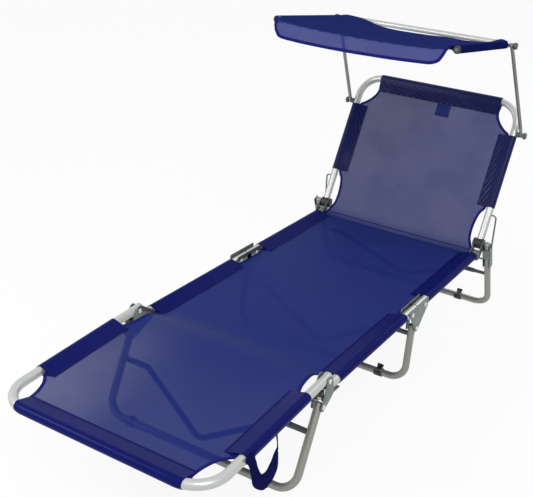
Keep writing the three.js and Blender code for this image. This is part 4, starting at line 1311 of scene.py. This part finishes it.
def valance_point(s, p, start, share, down):
    """A point of the valance, below its start on the crease: it leans out, flutters and gathers."""
    drop = valance_drop(s, share) * down
    fold = min(1.0, drop / (4 * MM))
    out = 2 * MM * math.sin(fold * math.pi / 2) + 14 * MM * drop / s.valance
    out += unevenness(start.x, down, 55 * MM, 1 / 1.4, 8.8) * 3 * MM * down
    out += math.sin((start.x + 0.5 * drop) * 2 * math.pi / (34 * MM)) * 0.5 * MM * (1 - down)
    drawn = Vector((-5 * MM * share * down, 0, 0))
    return start + drawn - p.along * out - p.up * (drop - 1 * MM * fold), drop


def canopy_cloth(s, m):
    """One curved sheet from the rear edge over the top and down the front valance."""
    p, wide = planes(s)["canopy"], canopy_reach(s)
    shares = [2 * k / 96 - 1 for k in range(97)]
    rows, maps = [], []
    for depth in spread(0.0, 1.0, 1 / 64):
        rows.append([canopy_point(p, share * wide, depth) for share in shares])
        maps.append([(share * wide, depth * CANOPY_CREASE) for share in shares])
    crease = rows[-1]
    for down in spread(0.0, 1.0, 1 / 16)[1:]:
        hung = [valance_point(s, p, start, share, down) for share, start in zip(shares, crease)]
        rows.append([point for point, drop in hung])
        maps.append([(share * wide, CANOPY_CREASE - drop) for share, (point, drop) in zip(shares, hung)])
    obj = sheet_grid("canopy_sheet", rows, maps, s.cloth)
    dress(obj, m["canopy"], "canopy", ["canopy_cloth"])
    obj.data.materials.append(m["valance"])
    front = p.at(0, CANOPY_CREASE - 1 * MM)
    for face in obj.data.polygons:
        if (face.center - front).dot(p.along) < 0:
            face.material_index = 1
    tapes = canopy_tapes(s, m, p, rows)


def canopy_sleeves(s, m):
    """Cloth wrapped round the side tubes of the canopy and sewn below the top."""
    p, wide = planes(s)["canopy"], canopy_reach(s)
    lift, hem = 1.2 * MM, 24 * MM
    radius = s.canopy_tube + lift
    wrap = [(radius * math.cos(a), radius * math.sin(a)) for a in spread(-1.1, -1.5 * math.pi, 0.2)]
    for side_name, side in SIDES:
        rows, maps = [], []
        for y in spread(CANOPY_FRONT, -18 * MM, 6 * MM):
            depth = y / CANOPY_CREASE
            line = [(u, canopy_height(side * (wide - u), depth) - lift) for u in (hem, hem * 0.6)]
            rows.append([p.at(side * (wide - u), y, h) for u, h in line + wrap])
            maps.append([(k * 3 * MM, y) for k in range(len(line + wrap))])
        obj = sheet_grid(f"canopy_sleeve_{side_name}", rows, maps, s.cloth)
        dress(obj, m["canopy_hem"], "canopy", ())


class LOUNGER_OT_canopy(bpy.types.Operator):
    """Canopy sheet with its valance, sleeves and bindings"""

    bl_idname = "lounger.canopy"
    bl_label = "Canopy"

    def execute(self, context):
        s = context.scene.lounger_sizes
        canopy_cloth(s, MATERIALS)
        canopy_sleeves(s, MATERIALS)
        return {"FINISHED"}


# Fittings


def carry_strap(s, m):
    """A loop of webbing sewn to the right sleeve: flat and folded at its foot, turned edge-on behind."""
    p, width = planes(s)["foot"], 26 * MM
    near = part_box("carry_strap")[0].x + 0.9 * MM
    rows, maps, run = [], [], 0.0
    for t in spread(0.0, len(STRAP) - 1.0, 0.25):
        along, above, out, along_in, above_in, out_in = (
            through([(k, row[n]) for k, row in enumerate(STRAP)], t) * MM for n in range(6)
        )
        outer, inner = p.at(near + out, along, above), p.at(near + out_in, along_in, above_in)
        if rows:
            run += ((outer + inner) / 2 - (rows[-1][0] + rows[-1][-1]) / 2).length
        rows.append([outer.lerp(inner, k / 4) for k in range(5)])
        maps.append([(k * 6 * MM, run) for k in range(5)])
    obj = sheet_grid("carry_strap_loop", rows, maps, 2.0 * MM)
    dress(obj, m["webbing"], "foot_section", ["carry_strap"])


def star_knob(name, centre, side, seat, radius, depth):
    """A lobed hand knob: flutes round its rim, a domed face and a hub."""
    profile = [(0.45, 0.0), (0.5, 0.12), (0.96, 0.2), (1.0, 0.3), (1.0, 0.72), (0.95, 0.84)]
    profile += [(0.8, 0.93), (0.45, 1.0), (0.12, 1.0)]  # share of the radius, share of the depth
    lobes, flute = 6, 0.1
    rings = []
    for share, deep in profile:
        x = side * (seat + depth * deep)
        swell = flute * min(1.0, max(0.0, (share - 0.45) / 0.4))
        ring = []
        for k in range(72):
            a = 2 * math.pi * k / 72
            r = 0.93 * radius * share * (1 + swell * math.cos(lobes * a))
            ring.append(Vector((x, centre.y + r * math.cos(a), centre.z + r * math.sin(a))))
        rings.append(ring)
    return loft(name, rings, smooth=50)


def star_knobs(s, m):
    """The knobs at both ends of the canopy's arms, each with its bright screw."""
    for end, joint in (("lower", "canopy_arm_angle"), ("upper", "canopy_tilt")):
        centre = PLACE[joint]
        for side_name, side in SIDES:
            node, name = f"{end}_knob_{side_name}", f"{end}_star_knob_{side_name}"
            inner, far = reach_across(node)
            near = far - 12 * MM
            knob = star_knob(name, centre, side, near, 10 * MM, far - near)
            knob.data.materials.append(m["knob"])
            stem = [Vector((side * x, centre.y, centre.z)) for x in spread(inner, near + 2 * MM, 6 * MM)]
            screw = loft("screw", rings_along(stem, circle(2.9 * MM, 16)))
            screw.data.materials.append(m["bright"])
            dress(join_objects(name, [knob, screw]), None, f"{node}_body", [node])


def arm_outline(foot, head, across):
    """Side view of an arm: round eyes, and a bar that draws in by 2 mm between them."""
    eyes = belt([(foot.y, foot.z, 7.5 * MM), (head.y, head.z, 7.5 * MM)])
    outline = []
    for (y0, z0), (y1, z1) in zip(eyes, eyes[1:] + eyes[:1]):
        outline.append((y0, z0))
        a, b = Vector((0, y0, z0)), Vector((0, y1, z1))
        if (b - a).length > 60 * MM:
            inward = -across if (a - foot).dot(across) > 0 else across
            for start, end, distance in ((a, b, 14), (a, b, 24), (b, a, 24), (b, a, 14)):
                q = start.lerp(end, distance * MM / (b - a).length) + inward * 2 * MM
                outline.append((q.y, q.z))
    return outline


def canopy_arms(s, m):
    """Flat arms with two pressed ribs and round eyes, leaning inwards to the canopy."""
    foot, head = PLACE["canopy_arm_angle"], PLACE["canopy_tilt"]
    run = Vector((0, head.y - foot.y, head.z - foot.z))
    across = Vector((0, -run.z, run.y)).normalized()
    outline, thick = arm_outline(foot, head, across), 6.5 * MM
    for side_name, side in SIDES:
        name, node = f"canopy_arm_bar_{side_name}", f"canopy_arm_{side_name}"
        inner, outer = reach_across(node)

        def lean(y, z, side=side, shift=outer - thick - inner):
            share = Vector((0, y - foot.y, z - foot.z)).dot(run) / run.length_squared
            return -side * shift * max(0.0, min(1.0, share))

        parts = [plate(name, outline, side, outer - thick, outer, 0.8 * MM, lean)]
        for offset in (-2.6 * MM, 2.6 * MM):
            ends = [foot + run * share + across * offset for share in (0.07, 0.93)]
            ends = [Vector((side * (outer + 0.2 * MM) + lean(q.y, q.z), q.y, q.z)) for q in ends]
            points = [ends[0].lerp(ends[1], t) for t in spread(0, 1, 0.1)]
            parts.append(loft("rib", rings_along(points, circle(1.1 * MM, 10))))
        for part in parts:
            part.data.materials.append(m["grey"])
        dress(join_objects(name, parts), None, "canopy_arms", [node])


def pressed_bracket(name, s, m, side, outer, inner, webs, node, extra=()):
    """A pressed bracket: plates at both sides of the rail, joined by webs below it."""
    near = s.tube + PLATE_GAP
    far = near + PLATE
    parts = [plate(name, belt(outer), side, s.rail + near, s.rail + far, 0.5 * MM)]
    parts += [plate("inner_plate", belt(o), side, s.rail - far, s.rail - near, 0.5 * MM) for o in inner]
    for y0, z0, y1, z1 in webs:
        corners = [(y0, z0), (y1, z0), (y1, z1), (y0, z1)]
        parts.append(plate("web", corners, side, s.rail - far, s.rail + far, 0.4 * MM))
    for part in parts:
        part.data.materials.append(m["zinc"])
    dress(join_objects(name, parts + list(extra)), None, body_of(node), [node])


def stop_bolt(s, m, side, y, z):
    """The stop above the front leg: a bright bolt in a black bush, between the plates of its bracket."""
    near = s.tube + PLATE_GAP
    start, end = s.rail - near, s.rail + near
    bush = [(start, 7.6 * MM), (start + 8 * MM, 7.6 * MM), (start + 9 * MM, 7 * MM)]
    collar = [(end - 3.5 * MM, 7 * MM), (end - 3 * MM, 7.6 * MM), (end, 7.6 * MM)]
    bolt = [(start + 8 * MM, 6.2 * MM), (end - 3 * MM, 6.2 * MM)]
    parts = []
    for profile, finish in ((bush, "black"), (bolt, "bright"), (collar, "black")):
        part = turned("stop", (0, y, z), (side, 0, 0), profile)
        part.data.materials.append(m[finish])
        parts.append(part)
    return parts


def brackets(s, m):
    """The pressed brackets of the three hinges on each side."""
    foot, front, hip = PLACE["foot_fold"], PLACE["front_leg_fold"], PLACE["backrest_fold"]
    fold, leg_pin = PLACE["middle_fold"], PLACE["middle_leg_fold"]
    centre = (fold + PLACE["rear_fold"]) / 2
    deck = PLACE["rear_fold"].z
    level = deck - s.tube - PLATE_GAP
    base = level - PLATE
    corner, lug, tongue = 6 * MM, 14 * MM, 11 * MM
    # Ends of the plates along the object, and their lower and upper corners
    end, half, start = foot.y + 53 * MM, 61 * MM, hip.y - 41 * MM
    low, high, shoulder = base + corner, deck + 17 * MM - corner, deck + 5 * MM
    strip = [
        (centre.y + half - corner, low, corner),
        (centre.y + half - corner, high, corner),
        (centre.y - half + corner, high, corner),
        (centre.y - half + corner, low, corner),
    ]
    drop = [
        (front.y, front.z, tongue),
        (foot.y + 7 * MM, foot.z - 32 * MM, 17 * MM),
        (foot.y + 2 * MM, foot.z - 1 * MM, 12 * MM),
    ]
    wing = [(leg_pin.y + 2 * MM, leg_pin.z, tongue), *strip[:3], (fold.y - 3 * MM, fold.z - 1 * MM, 9 * MM)]
    foot_line = [
        (front.y, front.z, tongue),
        (end - corner, low, corner),
        (end - corner, shoulder, corner),
        (foot.y, foot.z, lug),
        (foot.y - 20 * MM, foot.z - 12 * MM, 4 * MM),
    ]
    hip_line = [
        (start + corner, low, corner),
        (hip.y - 23 * MM, low, corner),
        (hip.y, hip.z, lug),
        (start + corner, shoulder, corner),
    ]
    leg_line = [(leg_pin.y, leg_pin.z, tongue), (centre.y, deck, tongue)]
    edge = hip.y - 19 * MM
    foot_webs = [(foot.y + 23 * MM, base, end, level)]
    centre_webs = [
        (centre.y - half, base, centre.y - half + 6 * MM, level),
        (centre.y + half - 6 * MM, base, centre.y + half, level),
    ]
    hip_webs = [(start, base, edge, level), (edge - 1.5 * MM, base, edge, deck + 11.5 * MM)]
    for side_name, side in SIDES:
        stop = stop_bolt(s, m, side, foot.y - 18 * MM, foot.z - 34.5 * MM)
        for name, outer, inner, webs, node, extra in (
            ("foot_bracket", drop, [foot_line], foot_webs, "foot_hinge_bracket", stop),
            ("middle_bracket", wing, [strip, leg_line], centre_webs, "centre_bracket", ()),
            ("hip_bracket", hip_line, [hip_line], hip_webs, "rear_bracket", ()),
        ):
            name, node = f"{name}_{side_name}", f"{node}_{side_name}"
            pressed_bracket(name, s, m, side, outer, inner, webs, node, extra)


def pins(s, m):
    """Pins through the brackets, with domed heads."""
    reach = s.tube + PLATE_GAP + PLATE + 0.3 * MM
    for stem, joint in (
        ("foot_pin", "foot_fold"),
        ("front_leg_pin", "front_leg_fold"),
        ("middle_fold_pin", "middle_fold"),
        ("rear_fold_pin", "rear_fold"),
        ("middle_leg_pin", "middle_leg_fold"),
    ):
        at = PLACE[joint]
        for side_name, side in SIDES:
            node = f"{stem}_{side_name}"
            middle = Vector((side * s.rail, at.y, at.z))
            shank = turned("shank", middle, (1, 0, 0), [(-reach, 3.5 * MM), (reach, 3.5 * MM)], 18)
            shank.data.materials.append(m["bright"])
            ends = [(middle + Vector((d * reach, 0, 0)), (d, 0, 0)) for d in (-1, 1)]
            whole = join_objects(f"{node}_rivet", [shank, heads("heads", m, ends, 6.3 * MM, 2.5 * MM)])
            dress(whole, None, body_of(node), [node])


def pivot_disc(m, side_name, side):
    """A black disc on the hip's pin: a rounded face, and the pin's head beyond it."""
    hip, node = PLACE["backrest_fold"], f"backrest_pivot_{side_name}"
    inner, far = reach_across(node)
    disc = [(0, 12.5), (0.8, 14.4), (1.8, 15), (5, 15), (5, 3.5)]  # from the inner face, radius
    head = [(2.5, 3.5), (2.5, 6.5), (1.2, 6.2), (0.2, 4), (0, 1.5)]  # from the far face, radius
    profile = [(inner + x * MM, r * MM) for x, r in disc] + [(far - x * MM, r * MM) for x, r in head]
    piece = turned(f"hip_disc_{side_name}", (0, hip.y, hip.z), (side, 0, 0), profile)
    dress(piece, m["black"], "backrest_pivots", [node])


def tube_cup(s, m, side_name, side):
    """A black cup over the end of the backrest's tube, with the knuckle that turns on the hip's pin."""
    hip, flat = PLACE["backrest_fold"], planes(s)["back"]
    name, near = f"tube_cup_{side_name}", s.tube - 0.2 * MM
    wall = [(0, 9), (0.6, 10.8), (1.6, 11.3), (21, 11.3), (22, 11)]  # along the tube, radius
    rim, full = 14.5 * MM, 16.5 * MM
    barrel = [(-near, rim), (2 * MM - near, full), (near - 2 * MM, full), (near, rim)]
    cup = turned(name, flat.at(side * s.rail, -13 * MM), flat.along, [(x * MM, r * MM) for x, r in wall])
    barrel = [(s.rail + x, r) for x, r in barrel]
    knuckle = turned("knuckle", (0, hip.y, hip.z), (side, 0, 0), barrel)
    for part in (cup, knuckle):
        part.data.materials.append(m["black"])
    dress(join_objects(name, [cup, knuckle]), None, "backrest", ())


def toothed_channel(s, m, side_name, side):
    """The pressed channel round the top of the rear leg, with five notches that the wire can stand in."""
    leg = leg_plane("rear_leg_fold", LEGS["rear"][1])
    out, wrap, thick = half_width("rear_leg") - s.leg_tube, s.leg_tube + FIT, 1.5 * MM
    teeth = [(-9, -1), (91.5, -1), (91.5, 1)]  # down the leg, share of the way to the edge
    for root in (84, 69, 54, 39, 24):
        teeth += [(root + 3, 1), (root + 1.2, 1.26), (root, 1)]
    teeth.append((-9, 1))
    edge = [leg.at(0, a * MM, (wrap + thick) * b) for a, b in teeth]
    back = [leg.at(0, a * MM, -wrap - b) for a, b in ((12, thick), (50, thick), (50, 0), (12, 0))]
    parts = []
    for name, line, near, far in (
        ("outer_plate", edge, out + wrap, out + wrap + thick),
        ("inner_plate", edge, out - wrap - thick, out - wrap),
        ("web", back, out - wrap - thick, out + wrap + thick),
    ):
        part = plate(name, [(q.y, q.z) for q in line], side, near, far, 0.3 * MM)
        part.data.materials.append(m["zinc"])
        parts.append(part)
    whole = join_objects(f"toothed_plate_{side_name}", parts)
    dress(whole, None, "rear_leg_frame", [f"toothed_channel_{side_name}"])


def hip_fittings(s, m):
    """At the hip: the pivot discs, the cups on the backrest's tube and the toothed channels."""
    for side_name, side in SIDES:
        pivot_disc(m, side_name, side)
        tube_cup(s, m, side_name, side)
        toothed_channel(s, m, side_name, side)


def foot_clips(s, m):
    """Clips under the foot bars: a half wrap that stands on the floor, with a thin raised tab."""
    inner, outer = s.leg_tube + FIT, BAR_HEIGHT
    arc = spread(math.radians(-215), math.radians(35), 0.16)
    lip = [(inner + 0.6 * MM, math.radians(41)), (inner, math.radians(35))]
    ring = [(outer, a) for a in arc] + lip + [(inner, a) for a in reversed(arc)]
    strip = [(inner + 1.2 * MM, arc[-1])]
    strip += [(inner + 3.4 * MM, math.radians(a)) for a in (60, 90, 120)]
    strip += [(inner + 5.0 * MM, math.radians(a)) for a in (120, 90, 58)]
    for name, (joint, lean, body) in LEGS.items():
        bar = leg_plane(joint, lean).at(0, leg_length(name))
        rise = (1.5 if name == "front" else 8) * MM
        lean_out, foot, thick = 0.4 * rise, 12 * MM, 1.4 * MM
        tab = [(4.6 * MM, foot + 0.2 * MM), (4.6 * MM + thick, foot + 0.2 * MM)]
        tab += [(lean_out + 4.6 * MM + thick, foot + rise), (lean_out + 4.6 * MM, foot + rise)]
        tab = [(bar.y + y, bar.z + z) for y, z in tab]
        wrap, band = (
            [(bar.y + r * math.cos(a), bar.z + r * math.sin(a)) for r, a in line] for line in (ring, strip)
        )
        for side_name, side in SIDES:
            node = f"{name}_foot_clip_{side_name}"
            near, far = reach_across(node)
            parts = [
                plate(f"{name}_clip_{side_name}", wrap, side, near, far, 0.5 * MM),
                plate("band", band, side, near + 5 * MM, far - 5 * MM, 0.3 * MM),
                plate("tab", tab, side, near + 2 * MM, far - 2 * MM, 0.4 * MM),
            ]
            whole = join_objects(f"{name}_clip_{side_name}", parts)
            dress(whole, m["black"], body, [node])


def turned_ring(m, side_name, side, stem, joint, radius, finish):
    """A plain turned ring on a pin, with its edges eased."""
    node, at = f"{stem}_{side_name}", PLACE[joint]
    near, far = reach_across(node)
    ease = min(0.8 * MM, (far - near) / 3)
    profile = [(near, radius - ease), (near + ease, radius), (far - ease, radius), (far, radius - ease)]
    ring = turned(f"{node}_ring", (0, at.y, at.z), (side, 0, 0), profile)
    dress(ring, m[finish], body_of(node), [node])


def tube_cap(s, m, side_name, side):
    """A black cap on a front end of the canopy's tube, with a grey plug in its face."""
    p = planes(s)["canopy"]
    tip = p.at(side * canopy_reach(s), CANOPY_FRONT)
    cap = [(-6, 9.2), (0, 9.6), (2.6, 9.8), (4, 9.2), (4.5, 7.5), (4, 6.4), (4, 0)]  # along, radius
    plug = [(3, 5.6), (4.4, 5.4), (4.7, 4), (4.8, 0)]
    parts = []
    for name, profile, finish in (("cap", cap, "black"), ("plug", plug, "knob")):
        part = turned(name, tip, -p.along, [(x * MM, r * MM) for x, r in profile])
        part.data.materials.append(m[finish])
        parts.append(part)
    whole = join_objects(f"tube_cap_{side_name}", parts)
    dress(whole, None, "canopy", [f"canopy_end_cap_{side_name}"])


def rubber_stop(m, side_name, side):
    """The block below the foot's tube that the bracket comes to rest on."""
    node = f"foot_stop_{side_name}"
    low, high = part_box(node)
    corners = [(low.y, low.z), (high.y, low.z), (high.y, high.z), (low.y, high.z)]
    block = plate(f"rubber_stop_{side_name}", corners, side, *reach_across(node), 1.6 * MM)
    dress(block, m["black"], body_of(node), [node])


def small_turnings(s, m):
    """Spacers, washers, end caps and the rubber stops below the foot tube."""
    for side_name, side in SIDES:
        turned_ring(m, side_name, side, "arm_spacer", "canopy_arm_angle", 8 * MM, "knob")
        turned_ring(m, side_name, side, "canopy_washer", "canopy_tilt", 6 * MM, "black")
        tube_cap(s, m, side_name, side)
        rubber_stop(m, side_name, side)


class LOUNGER_OT_fittings(bpy.types.Operator):
    """Carry strap, knobs, canopy arms, brackets, pins and clips"""

    bl_idname = "lounger.fittings"
    bl_label = "Fittings"

    def execute(self, context):
        s = context.scene.lounger_sizes
        for make in (
            carry_strap, star_knobs, canopy_arms, brackets, pins, hip_fittings, foot_clips, small_turnings,
        ):
            make(s, MATERIALS)
        return {"FINISHED"}


# Stage


def camera(scene):
    """The camera where the photograph was taken from."""
    data = bpy.data.cameras.new("camera")
    data.lens = 62.62
    data.sensor_width = 36.0
    obj = bpy.data.objects.new("camera", data)
    scene.collection.objects.link(obj)
    turn, down, roll = math.radians(30.46), math.radians(23.64), math.radians(3.82)
    ahead = Vector((-math.sin(turn) * math.cos(down), math.cos(turn) * math.cos(down), -math.sin(down)))
    right = Vector((math.cos(turn), math.sin(turn), 0))
    up = right.cross(ahead)
    tilted_right = right * math.cos(roll) + up * math.sin(roll)
    tilted_up = up * math.cos(roll) - right * math.sin(roll)
    basis = Matrix((tilted_right, tilted_up, -ahead)).transposed()
    foot_bar = PLACE["foot_fold"].y - SECTION_LENGTH["foot"]
    place = Vector((1.0209, foot_bar - 1.1301, 1.3186))
    obj.matrix_world = Matrix.Translation(place) @ basis.to_4x4()
    scene.camera = obj


def lamp(scene, name, place, target, power, size):
    """A square lamp turned to a target, its power in watts and its size in metres."""
    data = bpy.data.lights.new(name, "AREA")
    data.energy = power
    data.size = size
    obj = bpy.data.objects.new(name, data)
    scene.collection.objects.link(obj)
    obj.location = place
    obj.rotation_euler = (Vector(target) - Vector(place)).to_track_quat("-Z", "Y").to_euler()


def world(scene):
    """Even studio light; what the camera, gloss and glass see of it is white."""
    scene.world = bpy.data.worlds.new("studio")
    scene.world.use_nodes = True
    tree = scene.world.node_tree
    background = tree.nodes["Background"]
    background.inputs["Color"].default_value = (1, 1, 1, 1)
    level = {"Value": seen_directly(tree), "To Min": 0.5, "To Max": 1.0}
    add(tree, "ShaderNodeMapRange", None, level, background.inputs["Strength"])


class LOUNGER_OT_stage(bpy.types.Operator):
    """Pale floor, soft studio light and the camera"""

    bl_idname = "lounger.stage"
    bl_label = "Stage"

    def execute(self, context):
        scene = context.scene
        reach = 14.0
        corners = [(-reach, -reach, 0), (reach, -reach, 0), (reach, reach, 0), (-reach, reach, 0)]
        floor = new_object("floor", corners, [(0, 1, 2, 3)])
        floor.data.materials.append(studio_floor())
        lamp(scene, "key", (2.4, -2.6, 3.6), (0, 0, 0.3), power=80, size=1.4)
        lamp(scene, "fill", (-1.4, -1.9, 1.6), (0, -0.6, 0.3), power=24, size=0.3)
        lamp(scene, "rim", (0.4, 3.4, 2.8), (0, 0.2, 0.4), power=26, size=2.0)
        world(scene)
        camera(scene)
        scene.view_settings.view_transform = "Standard"
        return {"FINISHED"}


class LOUNGER_PT_panel(bpy.types.Panel):
    """Lists the steps that dress the lounger, and its sizes and colours"""

    bl_idname = "LOUNGER_PT_panel"
    bl_label = "Sun lounger"
    bl_space_type = "VIEW_3D"
    bl_region_type = "UI"
    bl_category = "Lounger"

    def draw(self, context):
        for operator in OPERATORS:
            self.layout.operator(operator.bl_idname)
        for group in (context.scene.lounger_sizes, context.scene.lounger_colours):
            for name in group.__annotations__:
                self.layout.prop(group, name)


OPERATORS = (
    LOUNGER_OT_tubes,
    LOUNGER_OT_seat_cloth,
    LOUNGER_OT_canopy,
    LOUNGER_OT_fittings,
    LOUNGER_OT_stage,
)
CLASSES = (LOUNGER_PG_sizes, LOUNGER_PG_colours, *OPERATORS, LOUNGER_PT_panel)


def register():
    for cls in CLASSES:
        bpy.utils.register_class(cls)
    bpy.types.Scene.lounger_sizes = bpy.props.PointerProperty(type=LOUNGER_PG_sizes)
    bpy.types.Scene.lounger_colours = bpy.props.PointerProperty(type=LOUNGER_PG_colours)


def unregister():
    del bpy.types.Scene.lounger_colours
    del bpy.types.Scene.lounger_sizes
    for cls in reversed(CLASSES):
        bpy.utils.unregister_class(cls)


def main():
    """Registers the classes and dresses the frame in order."""
    register()
    MATERIALS.update(make_materials(bpy.context.scene))
    MATERIALS["stitch_tree"] = stitch_tree(MATERIALS["thread"])
    MATERIALS["head_tree"] = head_tree(MATERIALS["bright"])
    bpy.ops.lounger.tubes()
    bpy.ops.lounger.seat_cloth()
    bpy.ops.lounger.canopy()
    bpy.ops.lounger.fittings()
    bpy.ops.lounger.stage()


if __name__ == "__main__":
    main()
